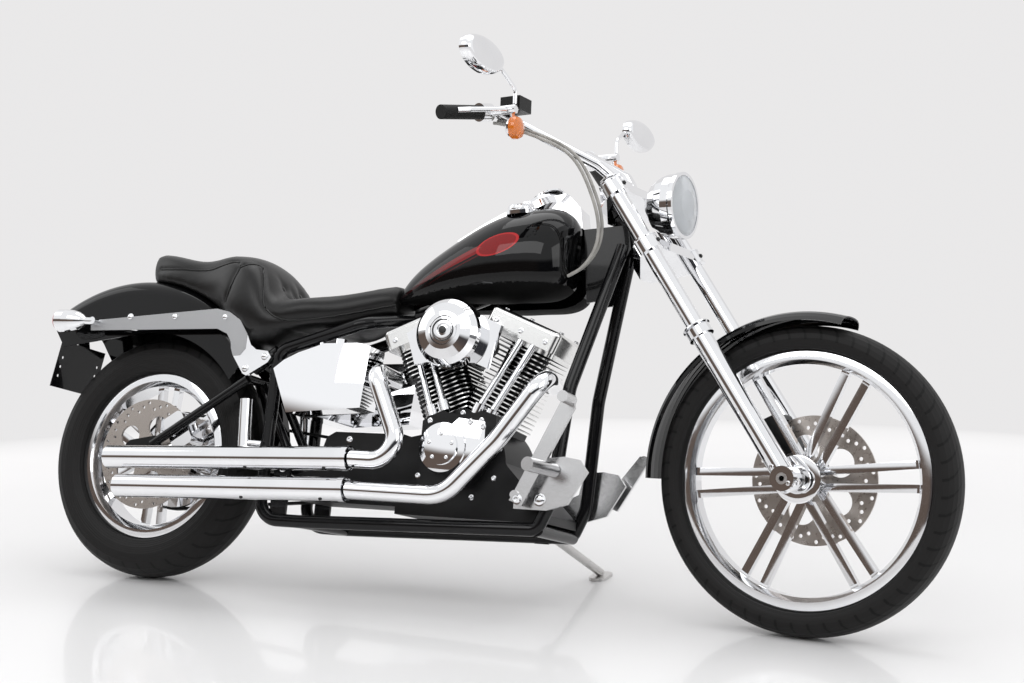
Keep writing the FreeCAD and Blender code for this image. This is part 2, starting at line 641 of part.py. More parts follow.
def stand_bracket():
    """Welded plates and hinge pin on the left rail that carry the side stand."""
    root, leg, up = stand_axis_frame()
    half = mm("stand_boss_height") / 2
    lid = mm("pivot_plate_thickness")
    width = mm("stand_boss_radius") * 2
    rail = Vec(root.x, mm("rail_spacing"), mm("rail_rear_height"))
    inward = (up * up.y - Y_AXIS).normalize()
    reach = (root.y - rail.y) / -inward.y
    plates = []
    for way, label in ((1, "top"), (-1, "bottom")):
        near = root + up * way * (half + mm("pin_gap"))
        far = near + up * way * lid
        inner = (near + far) / 2 + inward * reach
        plates.append(rod("stand_ear_" + label, near, far, "stand_boss_radius"))
        plates.append(beam("stand_web_" + label, (near + far) / 2, inner, width, lid, up))
        plates.append(beam("stand_post_" + label, inner, rail, width, lid, Y_AXIS))
    room = rod("stand_room", root - up * (half + mm("pin_gap")), root + up * (half + mm("pin_gap")),
               "stand_boss_radius")
    room.setExpression("Radius", "sizes.stand_boss_radius + sizes.running_gap")
    doc.recompute([room])
    ears = cut("stand_ears", fuse("stand_plates", plates), room)
    return [ears, rod("stand_pin", root - up * (half + lid), root + up * (half + lid), "stand_pin_radius")]


def beam(name, start, end, width, depth, normal):
    """Rectangular bar from start to end, its wide side square to the given direction."""
    along = end - start
    turn = FreeCAD.Rotation(along, normal.cross(along), normal, "XZY")
    bar = doc.addObject("Part::Box", name)
    bar.Length, bar.Width, bar.Height = along.Length, width, depth
    corner = start + turn.multVec(Vec(0, -width / 2, -depth / 2))
    bar.Placement = FreeCAD.Placement(corner, turn)
    doc.recompute([bar])
    return bar


def build_side_stand():
    """Swinging leg with its hinge eye and a flat foot that lies on the floor."""
    root, leg, up = stand_axis_frame()
    half = mm("stand_boss_height") / 2
    eye = rod("stand_eye", root - up * half, root + up * half, "stand_boss_radius")
    foot_centre = root + leg
    bar = rod("stand_leg", root, foot_centre, "stand_leg_radius")
    inverse = chassis_placement.inverse()
    level = inverse.Rotation
    foot = new_body("stand_foot", FreeCAD.Placement(
        inverse.multVec(Vec(mm("stand_x") + mm("stand_lead"), mm("stand_foot_side"), 0)), level))
    sketch = new_sketch(foot, "stand_foot_outline", "XY_Plane")
    draw_rounded_box(sketch, mm("stand_foot_width"), mm("stand_foot_length"), mm("stand_foot_width") * 0.45)
    pad(foot, sketch, "stand_foot_pad", cell("stand_foot_thickness"))
    bore = rod("stand_bore", root - up * mm("stand_boss_height"), root + up * mm("stand_boss_height"),
               "stand_bore_radius")
    solid = fuse("stand_solid", [eye, bar, foot])
    return node(cut("side_stand", solid, bore), "side_stand", chassis_placement)


def build_swingarm():
    """Triangle on each side of the wheel, joined at the top and at the pivot."""
    y, neck, brace = mm("swingarm_spacing"), mm("swingarm_neck_spacing"), mm("swingarm_brace_spacing")
    top = Vec(mm("swingarm_top_x"), 0, mm("swingarm_top_height"))
    pivot = Vec(mm("swingarm_pivot_x"), 0, mm("swingarm_pivot_height"))
    length, height = mm("axle_plate_length"), mm("axle_plate_height")
    items = []
    for side, label in SIDES:
        ear = plate("axle_plate_" + label,
                    [(a * length, rear_axle.z + b * height) for a, b in AXLE_PLATE_SHARES],
                    cell("axle_plate_thickness"), move(0, side * y), both=True)
        upper = rod("upper_arm_" + label, Vec(length * 0.45, side * y, rear_axle.z + height * 0.35),
                    top + Y_AXIS * side * y, "swingarm_tube_radius")
        lower = tube("lower_arm_" + label, [Vec(length * 0.5, side * y, rear_axle.z),
                                            Vec(top.x * 0.78, side * y, rear_axle.z - height * 0.2),
                                            Vec(top.x * 1.16, side * neck, pivot.z),
                                            pivot + Y_AXIS * side * neck],
                     "swingarm_tube_radius", [mm("frame_bend")] * 2)
        strut = rod("front_brace_" + label, top + Y_AXIS * side * brace, pivot + Y_AXIS * side * brace,
                    "swingarm_tube_radius")
        items += [ear, upper, lower, strut]
    items.append(rod("arm_bridge", top - Y_AXIS * y, top + Y_AXIS * y, "swingarm_tube_radius"))
    reach = mm("rail_rear_spacing") - mm("pivot_plate_thickness") - mm("pin_gap")
    items.append(rod("arm_pivot", pivot - Y_AXIS * reach, pivot + Y_AXIS * reach, "pivot_radius"))
    solid = fuse("swingarm_solid", items)
    bore = rod("arm_axle_bore", rear_axle - Y_AXIS * 2 * y, rear_axle + Y_AXIS * 2 * y, "axle_fit_radius")
    return node(cut("swingarm", solid, bore), "swingarm", chassis_placement)


AXLE_PLATE_SHARES = ((-0.33, -0.30), (-0.33, 0.30), (-0.20, 0.5), (0.55, 0.75), (0.72, 0.3), (0.72, -0.2), (0.45, -0.5),
                     (-0.20, -0.5))


crank = Vec(mm("crank_x"), 0, mm("crank_height"))
head_base = mm("barrel_base") + mm("barrel_length")
rocker_base = head_base + mm("head_height")
CYLINDERS = ((1, "front"), (-1, "rear"))


def cylinder_frame(way):
    """Placement on the crank centre with Z along one cylinder, leaning forward or back."""
    return move(*crank, axis=Y_AXIS, angle=way * mm("v_half_degrees"))


def fin_stack(body, name, size, base, count):
    """Evenly pitched plates with round corners on one cylinder."""
    sketch = new_sketch(body, name + "_fin_outline", "XY_Plane", base)
    draw_rounded_box(sketch, size, size, mm("fin_corner"))
    pad(body, sketch, name + "_fin", cell("fin_thickness"))
    fin = body.Tip
    pattern = body.newObject("PartDesign::LinearPattern", name + "_fins")
    pattern.Originals = [fin]
    pattern.Direction = (sketch, ["N_Axis"])
    pattern.Length = mm("fin_pitch") * (count - 1)
    pattern.Occurrences = count
    body.Tip = pattern
    doc.recompute([body])


def build_cylinder(way, name):
    """Finned barrel and head, cut off where the two cylinders meet in the V."""
    body = new_body(name + "_barrel", cylinder_frame(way))
    core = new_sketch(body, name + "_core_outline", "XY_Plane", mm("barrel_base"))
    draw_circle(core, 0, 0, mm("barrel_radius"))
    pad(body, core, name + "_core", "sizes.barrel_length + sizes.head_height")
    pitch = mm("fin_pitch")
    barrel_fins = int(mm("barrel_length") / pitch)
    fin_stack(body, name + "_barrel", mm("fin_size"), mm("barrel_base") + pitch / 2, barrel_fins)
    head_fins = int(mm("head_height") / pitch)
    fin_stack(body, name + "_head", mm("head_fin_size"), head_base, head_fins)
    seat = new_sketch(body, name + "_head_outline", "XY_Plane", rocker_base - pitch)
    draw_rounded_box(seat, mm("head_fin_size"), mm("head_fin_size"), mm("fin_corner"))
    pad(body, seat, name + "_head_deck", cell("fin_pitch"))
    size = rocker_base * 2
    keep = primitive("Part::Box", name + "_side", move(crank.x + (mm("v_gap") if way > 0 else -mm("v_gap") - size),
                                                       -size / 2, crank.z), Length=str(size) + " mm",
                     Width=str(size) + " mm", Height=str(size) + " mm")
    common = doc.addObject("Part::Common", name + "_cylinder")
    common.Base = body
    common.Tool = keep
    doc.recompute([common])
    return node(common, name + "_cylinder", chassis_placement)


def build_rocker_cover(way, name):
    """Chrome cover whose right side reaches out over the pushrod tubes."""
    length, width = mm("rocker_length"), mm("rocker_width")
    overhang = mm("rocker_overhang")
    body = new_body(name + "_rocker_cover", cylinder_frame(way))
    sketch = new_sketch(body, name + "_rocker_outline", "XY_Plane", rocker_base)
    draw_rounded_box(sketch, length, width + overhang, mm("rocker_corner"), y=-overhang / 2)
    pad(body, sketch, name + "_rocker_block", cell("rocker_height"))
    soften(body, name + "_rocker_round", body.Tip, rocker_base + mm("rocker_height"), mm("rocker_corner") * 0.8)
    return node(body, name + "_rocker_cover", chassis_placement)


def soften(body, name, feature, height, radius):
    """Round every edge of a pad that lies at the given height of its own body."""
    names = []
    for count, edge in enumerate(feature.Shape.Edges, start=1):
        box = edge.BoundBox
        if abs(box.ZMin - height) < mm("pin_gap") and abs(box.ZMax - height) < mm("pin_gap"):
            names.append("Edge%d" % count)
    round_edge = body.newObject("PartDesign::Fillet", name)
    round_edge.Base = (feature, names)
    round_edge.Radius = radius
    doc.recompute([body])
    return round_edge


def lifter_blocks(name, gap):
    """Four turned blocks that stand in the cam chest, wider and deeper by a gap for their bores."""
    items = []
    for way, cylinder in CYLINDERS:
        frame = cylinder_frame(way)
        for foot, top in PUSHROD_PLACE_SHARES[cylinder]:
            place = frame.multiply(move(way * foot * mm("barrel_radius"), -mm("pushrod_offset"), mm("barrel_base") - gap))
            block = primitive("Part::Cylinder", "%s_%d" % (name, len(items) + 1), place)
            block.Radius, block.Height = mm("lifter_radius") + gap, mm("lifter_height") + gap
            doc.recompute([block])
            items.append(block)
    return items


def soften_forward(body, name, feature, depth, radius):
    """Round the front edge of a pad that was drawn across the bike."""
    start = min(edge.BoundBox.XMin for edge in feature.Shape.Edges)
    names = ["Edge%d" % count for count, edge in enumerate(feature.Shape.Edges, start=1)
             if edge.BoundBox.XMin > start + depth - mm("pin_gap")]
    round_edge = body.newObject("PartDesign::Fillet", name)
    round_edge.Base = (feature, names)
    round_edge.Radius = radius
    doc.recompute([body])


def build_pushrod_tubes():
    """Four slim tubes on turned lifter blocks, from the cam chest to the rocker covers."""
    items = []
    blocks = lifter_blocks("lifter_block", 0)
    for way, name in CYLINDERS:
        frame = cylinder_frame(way)
        for foot, top in PUSHROD_PLACE_SHARES[name]:
            foot_x, top_x = way * foot * mm("barrel_radius"), way * top * mm("barrel_radius")
            seat = frame.multVec(Vec(foot_x, -mm("pushrod_offset"), mm("barrel_base") + mm("lifter_height")))
            high = frame.multVec(Vec(top_x, -mm("pushrod_top_offset"), rocker_base - mm("pushrod_seat_gap")))
            label = "pushrod_%d" % (len(items) + 1)
            items.append(fuse(label, [blocks[len(items)], rod(label + "_tube", seat, high, "pushrod_radius")]))
    return node(compound("pushrod_tubes", items), "pushrod_tubes", chassis_placement)


PUSHROD_PLACE_SHARES = {"front": ((-0.06, 0.14), (0.62, 0.82)), "rear": ((0.40, 0.46), (-0.28, -0.22))}


def compound(name, items):
    """Several solids that do not touch, kept as one sub-part."""
    group = doc.addObject("Part::Compound", name)
    group.Links = items
    doc.recompute([group])
    return group


def build_crankcase():
    """Round case with two cylinder decks, sump, front mount and the cam chest on the right."""
    half = mm("crankcase_half_width")
    items = [rod("case_round", crank - Y_AXIS * half, crank + Y_AXIS * half, "crankcase_radius")]
    for way, name in CYLINDERS:
        body = new_body(name + "_deck", cylinder_frame(way))
        sketch = new_sketch(body, name + "_deck_outline", "XY_Plane")
        draw_rounded_box(sketch, 2 * mm("barrel_radius"), 2 * half, mm("rocker_corner"))
        pad(body, sketch, name + "_deck_block", cell("barrel_base"))
        items.append(body)
    reach = mm("crankcase_radius")
    sump = [(crank.x + a * reach, crank.z + b * reach) for a, b in SUMP_SHARES]
    mount_top = mm("rail_front_height") + mm("frame_tube_radius")
    sump += [(mm("rail_front_x") + mm("frame_tube_radius"), mount_top + mm("overrun")),
             (mm("rail_front_x") + mm("frame_tube_radius"), mount_top), (crank.x, mount_top)]
    items.append(plate("sump", sump, "2 * sizes.crankcase_half_width", both=True))
    chest = [(crank.x + a * reach, crank.z + b * reach) for a, b in CAM_CHEST_SHARES]
    items.append(plate("cam_chest", chest, cell("cam_chest_depth"), move(0, -half)))
    solid = fuse("crankcase_solid", items)
    return node(cut("crankcase", solid, fuse("lifter_bores", lifter_blocks("lifter_bore", mm("pin_gap")))), "crankcase",
                chassis_placement)


SUMP_SHARES = ((-1.25, -1.02), (-1.25, 0.45), (-0.6, 0.6), (0.6, 0.6), (1.05, 0.0))
CAM_CHEST_SHARES = ((-0.68, -0.45), (-0.68, 0.78), (-0.42, 0.93), (-0.30, 0.98), (0.10, 0.92), (0.62, 1.0),
                    (0.86, 0.92), (0.86, 0.30), (0.35, -0.45))


def build_cam_cover():
    """Chrome cover on the cam chest: a round case, a raised lid and a wing towards the front."""
    radius, depth = mm("cam_cover_radius"), mm("cam_cover_depth")
    x, z = crank.x - radius / 4, crank.z + radius / 2
    y = -mm("crankcase_half_width") - mm("cam_chest_depth")
    ring = primitive("Part::Cone", "cam_case", move(x, y, z, X_AXIS, 90), Radius1=cell("cam_cover_radius"),
                     Radius2=cell("cam_cover_radius") + " - sizes.rim_wall", Height=cell("cam_cover_depth"))
    lid = primitive("Part::Cylinder", "cam_lid", move(x, y - depth, z, X_AXIS, 90), Radius=cell("cam_face_radius"),
                    Height=cell("cam_lid_height"))
    wing = [(x + a * radius, z + b * radius) for a, b in CAM_WING_SHARES]
    wing_plate = plate("cam_wing", wing, cell("cam_cover_depth") + " * 0.8", move(0, y))
    return node(fuse("cam_cover", [ring, lid, wing_plate]), "cam_cover", chassis_placement)


CAM_WING_SHARES = ((0.0, 0.6), (0.55, 1.12), (1.62, 1.0), (1.66, 0.2), (1.1, -0.5), (0.5, -0.6))


def build_gearbox():
    outline = shares_to_points(GEARBOX_SHARES, mm("gearbox_x"), mm("gearbox_base"), mm("gearbox_length"),
                               mm("gearbox_height"))
    box = plate("gearbox", outline, "sizes.gearbox_half_width + sizes.gearbox_left", move(0, mm("gearbox_left")))
    return node(box, "gearbox", chassis_placement)


GEARBOX_SHARES = ((0.0, 0.10), (0.0, 0.36), (0.2, 0.45), (0.28, 0.92), (0.36, 1.0), (1.0, 1.0), (1.0, 0.0), (0.06, 0.0))


def stadium(sketch, x1, z1, r1, x2, z2, r2):
    """Outline of two circles joined by their outer tangents, the second one ahead."""
    gap = math.hypot(x2 - x1, z2 - z1)
    lean = math.atan2(z2 - z1, x2 - x1)
    open_angle = math.acos((r1 - r2) / gap)
    up, down = lean + open_angle, lean - open_angle

    def on(x, z, radius, angle):
        return Vec(x + radius * math.cos(angle), z + radius * math.sin(angle), 0)

    sketch.addGeometry(Part.LineSegment(on(x1, z1, r1, up), on(x2, z2, r2, up)))
    sketch.addGeometry(Part.LineSegment(on(x1, z1, r1, down), on(x2, z2, r2, down)))
    sketch.addGeometry(Part.ArcOfCircle(Part.Circle(Vec(x1, z1, 0), Z_AXIS, r1), up, down + 2 * math.pi))
    sketch.addGeometry(Part.ArcOfCircle(Part.Circle(Vec(x2, z2, 0), Z_AXIS, r2), down, up))


def build_primary_cover():
    """Long chrome cover on the left over the chain from crank to clutch."""
    height = mm("primary_height")
    body = new_body("primary_cover", move(0, mm("crankcase_half_width")))
    sketch = new_sketch(body, "primary_outline", "XZ_Plane")
    stadium(sketch, mm("primary_rear_x"), height, mm("primary_rear_radius"), crank.x, height,
            mm("primary_front_radius"))
    pad(body, sketch, "primary_case", cell("primary_depth"), reverse=True)
    clutch = new_sketch(body, "clutch_lid_outline", "XZ_Plane", -mm("primary_depth"))
    draw_circle(clutch, mm("primary_rear_x"), height, mm("primary_rear_radius") * 0.72)
    pad(body, clutch, "clutch_lid", cell("cam_lid_height"), reverse=True)
    return node(body, "primary_cover", chassis_placement)


def build_air_cleaner():
    """Round chrome cleaner on a backplate with two arms towards the heads."""
    x, z = mm("air_cleaner_x"), mm("air_cleaner_height")
    radius, depth, face = mm("air_cleaner_radius"), mm("air_cleaner_depth"), mm("air_cleaner_face")
    arms = [(x + a * radius, z + b * radius) for a, b in AIR_ARM_SHARES]
    back = plate("air_backplate", arms, cell("rocker_corner"), move(0, depth - face + mm("rocker_corner")))
    bowl = [(0, 0), (radius, 0), (radius, depth * 0.42), (radius * 0.96, depth * 0.60), (radius * 0.82, depth * 0.82),
            (radius * 0.55, depth * 0.95), (radius * 0.43, depth * 0.97), (radius * 0.40, depth * 0.93),
            (radius * 0.30, depth * 0.95), (0, depth)]
    lid = turned("air_bowl", bowl, move(x, depth - face, z, X_AXIS, 90))
    return node(fuse("air_cleaner", [back, lid]), "air_cleaner", chassis_placement)


AIR_ARM_SHARES = ((-1.50, 0.05), (-1.15, -0.88), (-0.75, -0.80), (0.75, -0.80), (1.15, -0.95), (1.48, 0.30),
                  (0.75, 0.62), (-0.75, 0.50))


def build_intake():
    """Carburettor barrel and manifold between the two heads."""
    back = mm("air_cleaner_depth") + mm("rocker_corner") - mm("air_cleaner_face")
    z = mm("intake_height")
    throat = rod("intake_throat", Vec(crank.x, back, z), Vec(crank.x, mm("intake_radius"), z), "intake_radius")
    reach = mm("manifold_reach")
    runner = rod("manifold", Vec(crank.x - reach, 0, z), Vec(crank.x + reach, 0, z), "manifold_radius")
    return node(fuse("intake", [throat, runner]), "intake", chassis_placement)



EXHAUST_TIPS = {}


def build_exhaust(name, corners, bends, rear_x, front_height):
    """Head pipe and straight muffler with an open tip, one solid with its hanger."""
    x, y = mm("muffler_front_x"), -mm("muffler_offset")
    front = Vec(x, y, front_height)
    back = Vec(rear_x, y, front_height - mm("muffler_fall") * (x - rear_x) / x)
    pipe = tube(name + "_pipe", corners + [front], "pipe_radius", bends)
    can = rod(name + "_can", front, back, "muffler_radius")
    along = (back - front).normalize()
    EXHAUST_TIPS[name] = (back, along)
    bore = rod(name + "_tip_bore", back - along * mm("tip_depth"), back + along * mm("overrun"), "tip_bore_radius")
    return node(cut(name, fuse(name + "_solid", [pipe, can]), bore), name, chassis_placement)


def port(way):
    """Outlet of one exhaust port on the outer face of a head, low in the fins."""
    return cylinder_frame(way).multVec(Vec(way * (mm("head_fin_size") / 2 + mm("pin_gap")), -mm("port_offset"),
                                           head_base + mm("port_height")))


def build_exhausts():
    out = -mm("pipe_offset")
    radius = mm("pipe_radius")
    start = port(1)
    ahead = start + cylinder_frame(1).Rotation.multVec(X_AXIS) * radius * 1.7
    rear_start = port(-1)
    behind = rear_start - cylinder_frame(-1).Rotation.multVec(X_AXIS) * radius * 1.15
    fork_x = mm("down_tube_mid_x")
    front_height, rear_height = mm("front_exhaust_height"), mm("rear_exhaust_height")
    front_route = [start, ahead, Vec(fork_x - radius, out, ahead.z), Vec(crank.x + radius * 6.4, out, crank.z + radius * 2),
                   Vec(crank.x + radius, out, front_height)]
    rear_route = [rear_start, behind, Vec(behind.x + radius / 2, out, behind.z),
                  Vec(crank.x - radius * 4, out, rear_height)]
    build_exhaust("front_exhaust", front_route, [radius * 1.5, radius * 2, radius * 8, radius * 4],
                  mm("front_muffler_rear_x"), front_height)
    build_exhaust("rear_exhaust", rear_route, [radius * 1.01, radius * 2, radius * 2.4],
                  mm("muffler_rear_x"), rear_height)


def arc_edge(cx, cz, radius, start, finish):
    """Arc in the XZ plane from one angle to another, in degrees from forward towards up."""
    def on(angle):
        turn = math.radians(angle)
        return Vec(cx + radius * math.cos(turn), 0, cz + radius * math.sin(turn))
    return Part.Arc(on(start), on((start + finish) / 2), on(finish)).toShape()


def extruded(wire, half_width):
    """Solid from a closed XZ wire, equally wide to both sides of the centre plane."""
    face = Part.Face(wire)
    face.translate(Vec(0, -half_width, 0))
    return face.extrude(Vec(0, 2 * half_width, 0))


def fender_block(radius, edge, half_width, spill):
    """Closed block under the rear fender's crown, with rounded shoulders."""
    cx, cz = mm("fender_centre_x"), mm("fender_centre_height")
    rear_angle, front_angle = REAR_FENDER_ANGLES
    crown = arc_edge(cx, cz, radius, front_angle - spill, rear_angle + spill)
    arch = arc_edge(0, rear_axle.z, mm("rear_tyre_radius") - spill, 95, 38 - spill)
    tail = Vec(mm("tail_x") - spill, 0, mm("tail_height") - spill)
    edges = [crown, Part.LineSegment(crown.Vertexes[1].Point, tail).toShape(),
             Part.LineSegment(tail, arch.Vertexes[0].Point).toShape(), arch,
             Part.LineSegment(arch.Vertexes[1].Point, crown.Vertexes[0].Point).toShape()]
    block = extruded(Part.Wire(edges), half_width)
    shoulders = [e for e in block.Edges if e.Curve.TypeId == "Part::GeomCircle" and abs(e.Curve.Radius - radius) < 1]
    return block.makeFillet(edge, shoulders)


REAR_FENDER_ANGLES = (130, 35)


def build_rear_fender():
    skin = mm("fender_skin")
    outer = fender_block(mm("fender_crown_radius"), mm("fender_edge"), mm("fender_half_width"), 0)
    inner = fender_block(mm("fender_crown_radius") - skin, mm("fender_edge") - skin,
                         mm("fender_half_width") - skin, 6)
    shell = cut("rear_fender", solid_feature("fender_outer", outer), solid_feature("fender_inner", inner))
    return node(shell, "rear_fender", chassis_placement)


INNER_FENDER_ANGLES = (-8, 34)


def build_inner_fender():
    """Curved guard between the rear tyre and the oil tank."""
    radius, skin = mm("inner_fender_radius"), mm("fender_skin")
    half = mm("swingarm_neck_spacing") - mm("swingarm_tube_radius") - mm("seat_base_clearance")
    low, high = INNER_FENDER_ANGLES
    outer, inner = arc_edge(0, rear_axle.z, radius + skin, low, high), arc_edge(0, rear_axle.z, radius, high, low)
    wire = Part.Wire([outer, Part.LineSegment(outer.Vertexes[1].Point, inner.Vertexes[0].Point).toShape(), inner,
                      Part.LineSegment(inner.Vertexes[1].Point, outer.Vertexes[0].Point).toShape()])
    return node(solid_feature("inner_fender", extruded(wire, half)), "inner_fender", chassis_placement)


def build_strut(side, label):
    """Chrome fender strut plate with the bosses that stand it off the fender."""
    outline = shares_to_points(STRUT_SHARES, mm("strut_rear_x"), mm("strut_base"), mm("strut_length"),
                               mm("strut_rise"))
    face = mm("rail_rear_spacing") + mm("frame_tube_radius")
    name = "fender_strut_" + label
    items = [plate(name + "_plate", outline, cell("strut_thickness"), move(0, side * face), reverse=side == LEFT)]
    for count, (a, b) in enumerate(STRUT_BOSS_SHARES):
        x, z = mm("strut_rear_x") + a * mm("strut_length"), mm("strut_base") + b * mm("strut_rise")
        items.append(rod("%s_boss_%d" % (name, count), Vec(x, side * mm("fender_half_width"), z),
                         Vec(x, side * face, z), "boss_radius"))
    return node(fuse(name, items), name, chassis_placement)


STRUT_SHARES = ((0, 0.81), (0.69, 1.0), (0.76, 0.95), (0.82, 0.83), (0.865, 0.62), (0.89, 0.46), (0.92, 0.39),
                (0.98, 0.37), (1.0, 0.28), (0.985, 0.20), (0.885, 0), (0.865, 0.03), (0.805, 0.29), (0.79, 0.40),
                (0.785, 0.50), (0.76, 0.62), (0.705, 0.695), (0.01, 0.655))
STRUT_BOSS_SHARES = ((0.47, 0.82), (0.74, 0.82), (0.16, 0.74))


def build_rear_lamp(side, label):
    """Bullet tail lamp: turned shell, lens face and the stem to the strut."""
    radius, length = mm("lamp_radius"), mm("lamp_length")
    y, z = side * mm("lamp_spacing"), mm("strut_base") + LAMP_HEIGHT_SHARE * mm("strut_rise")
    outline = [(a * radius, b * length) for a, b in BULLET_SHARES]
    shell = turned("rear_lamp_shell_" + label, outline, move(mm("lamp_lens_x"), y, z, Y_AXIS, 90))
    face = mm("rail_rear_spacing") + mm("frame_tube_radius") + mm("strut_thickness")
    tip = mm("lamp_lens_x") + length
    stem = rod("rear_lamp_stem_" + label, Vec(tip - 2 * mm("boss_radius"), y, z),
               Vec(mm("strut_rear_x") + 2 * mm("boss_radius"), side * (face + mm("boss_radius")), z), "boss_radius")
    foot = rod("rear_lamp_foot_" + label, Vec(mm("strut_rear_x") + 2 * mm("boss_radius"), side * face, z),
               Vec(mm("strut_rear_x") + 2 * mm("boss_radius"), side * (face + 2 * mm("boss_radius")), z),
               "boss_radius")
    return node(fuse("rear_lamp_" + label, [shell, stem, foot]), "rear_lamp_" + label, chassis_placement)


LAMP_HEIGHT_SHARE = 0.79
BULLET_SHARES = ((0, -0.08), (0.6, -0.06), (0.93, 0), (1.0, 0.02), (1.0, 0.28), (0.93, 0.50), (0.78, 0.70), (0.55, 0.86),
                 (0.25, 0.97), (0, 1.0))


def build_plate_bracket():
    """Blank drilled plate on a tongue under the fender's tail."""
    thickness, height = mm("plate_thickness"), mm("plate_height")
    top = Vec(mm("tail_x") - mm("overrun"), 0, mm("tail_height") + mm("overrun"))
    low_x = top.x - height * 0.16
    board = plate("plate_board", [(top.x, top.z), (top.x + thickness, top.z), (low_x + thickness, top.z - height),
                                  (low_x, top.z - height)], cell("plate_width"), both=True)
    cx, cz = mm("fender_centre_x"), mm("fender_centre_height")
    roof = mm("fender_crown_radius") - mm("fender_skin") - mm("seat_gap")
    tongue_x = top.x - mm("overrun")
    roof_z = cz + math.sqrt(roof ** 2 - (tongue_x - cx) ** 2)
    tongue = plate("plate_tongue", [(top.x, top.z - 2 * thickness), (top.x + thickness, top.z), (tongue_x, roof_z),
                                    (tongue_x - thickness, roof_z - 2 * thickness)], "sizes.plate_width / 4", both=True)
    solid = fuse("plate_solid", [board, tongue])
    holes = []
    for y_share, z_share in PLATE_HOLE_SHARES:
        y, z = y_share * mm("plate_width"), top.z - z_share * height
        label = "plate_hole_%d" % len(holes)
        holes.append(rod(label, Vec(low_x - mm("overrun"), y, z), Vec(top.x + mm("overrun"), y, z), "plate_hole_radius"))
    return node(cut("plate_bracket", solid, fuse("plate_holes", holes)), "plate_bracket", chassis_placement)


PLATE_HOLE_SHARES = ((-0.40, 0.35), (-0.40, 0.55), (-0.40, 0.75), (0.40, 0.35), (0.40, 0.55), (0.40, 0.75))


def section_ring(x, half_width, low, high, power, count=12):
    """Smooth closed ring across the bike at station x, squarer for a higher power."""
    points = []
    middle, half = (low + high) / 2, (high - low) / 2
    for step in range(count):
        angle = 2 * math.pi * (step + 0.5) / count
        across, up = math.cos(angle), math.sin(angle)
        points.append(Vec(x, half_width * math.copysign(abs(across) ** (2 / power), across),
                          middle + half * math.copysign(abs(up) ** (2 / power), up)))
    curve = Part.BSplineCurve()
    curve.interpolate(points, PeriodicFlag=True)
    return Part.Wire(curve.toShape())


def build_seat():
    """Stepped seat: pillion on the fender crown, back rest step, rider's dish and nose."""
    length, rise = mm("seat_length"), mm("seat_rise")
    x0, z0, half = mm("seat_rear_x"), mm("seat_base"), mm("seat_half_width")
    rings = [section_ring(x0 + a * length, half * w, z0 + low * rise, z0 + high * rise, 3.2)
             for a, w, low, high in SEAT_STATION_SHARES]
    body = Part.makeLoft(rings, True, False)
    crown = arc_edge(mm("fender_centre_x"), mm("fender_centre_height"), mm("fender_crown_radius") + mm("seat_gap"), 0, 180)
    base = Part.Wire([crown, Part.LineSegment(crown.Vertexes[1].Point, crown.Vertexes[0].Point).toShape()])
    room = [extruded(base, 2 * half)]
    gap = mm("seat_base_clearance")
    for side in (RIGHT, LEFT):
        rail = [Vec(mm("strut_stub_x"), side * mm("rail_rear_spacing"), mm("strut_stub_height")),
                *seat_rail(side), Vec(mm("backbone_rear_x"), 0, mm("backbone_rear_height"))]
        face = side * (mm("rail_rear_spacing") + mm("frame_tube_radius") - gap)
        outline = shares_to_points(STRUT_SHARES, mm("strut_rear_x"), mm("strut_base"), mm("strut_length"), mm("strut_rise"))
        wire = Part.makePolygon([Vec(x, face, z) for x, z in outline + outline[:1]])
        room.append(Part.Face(wire).makeOffset2D(gap).extrude(Vec(0, side * half, 0)))
        for a, b in STRUT_BOSS_SHARES:
            room.append(Part.makeCylinder(mm("boss_radius") + gap, half, Vec(mm("strut_rear_x") + a * mm("strut_length"), 0,
                                          mm("strut_base") + b * mm("strut_rise")), Y_AXIS * side))
        for start, end in zip(rail, rail[1:]):
            run = end - start
            room.append(Part.makeCylinder(mm("frame_tube_radius") + gap, run.Length, start, run))
            room.append(Part.makeSphere(mm("frame_tube_radius") + gap, end))
    room += [piece.Shape for piece in doc.getObject("fuel_tank").Links]
    body = body.cut(room)
    solid = max(body.Solids, key=lambda piece: piece.Volume)
    return node(solid_feature("seat", solid), "seat", chassis_placement)


SEAT_STATION_SHARES = ((0, 0.42, 0.74, 1.0), (0.06, 0.55, 0.55, 0.99), (0.16, 0.62, 0.50, 0.93), (0.28, 0.70, 0.38, 0.935),
                       (0.36, 0.86, 0.20, 0.955), (0.42, 0.96, 0.02, 0.93), (0.48, 1.0, 0, 0.83), (0.53, 1.0, 0, 0.62),
                       (0.60, 0.98, 0.08, 0.49), (0.72, 0.86, 0.19, 0.52), (0.86, 0.60, 0.25, 0.60),
                       (0.97, 0.36, 0.32, 0.63))


def tank_length():
    """Length of the tank, from its rear end to its clearance behind the steering head."""
    return mm("neck_x") - mm("tank_neck_gap") - mm("tank_rear_x")


def tank_ring(x, side, width, low, high):
    """Closed section of one tank half: flat tunnel side, rolled top, full flank, tucked base."""
    inner = mm("tunnel_half_width")
    top, base = Vec(x, side * inner, high), Vec(x, side * inner, low)
    reach, rise = width - inner, high - low
    flank = [Vec(x, side * (inner + a * reach), low + b * rise) for a, b in TANK_FLANK_SHARES]
    curve = Part.BSplineCurve()
    curve.interpolate([top] + flank + [base])
    return Part.Wire([Part.LineSegment(base, top).toShape(), curve.toShape()])


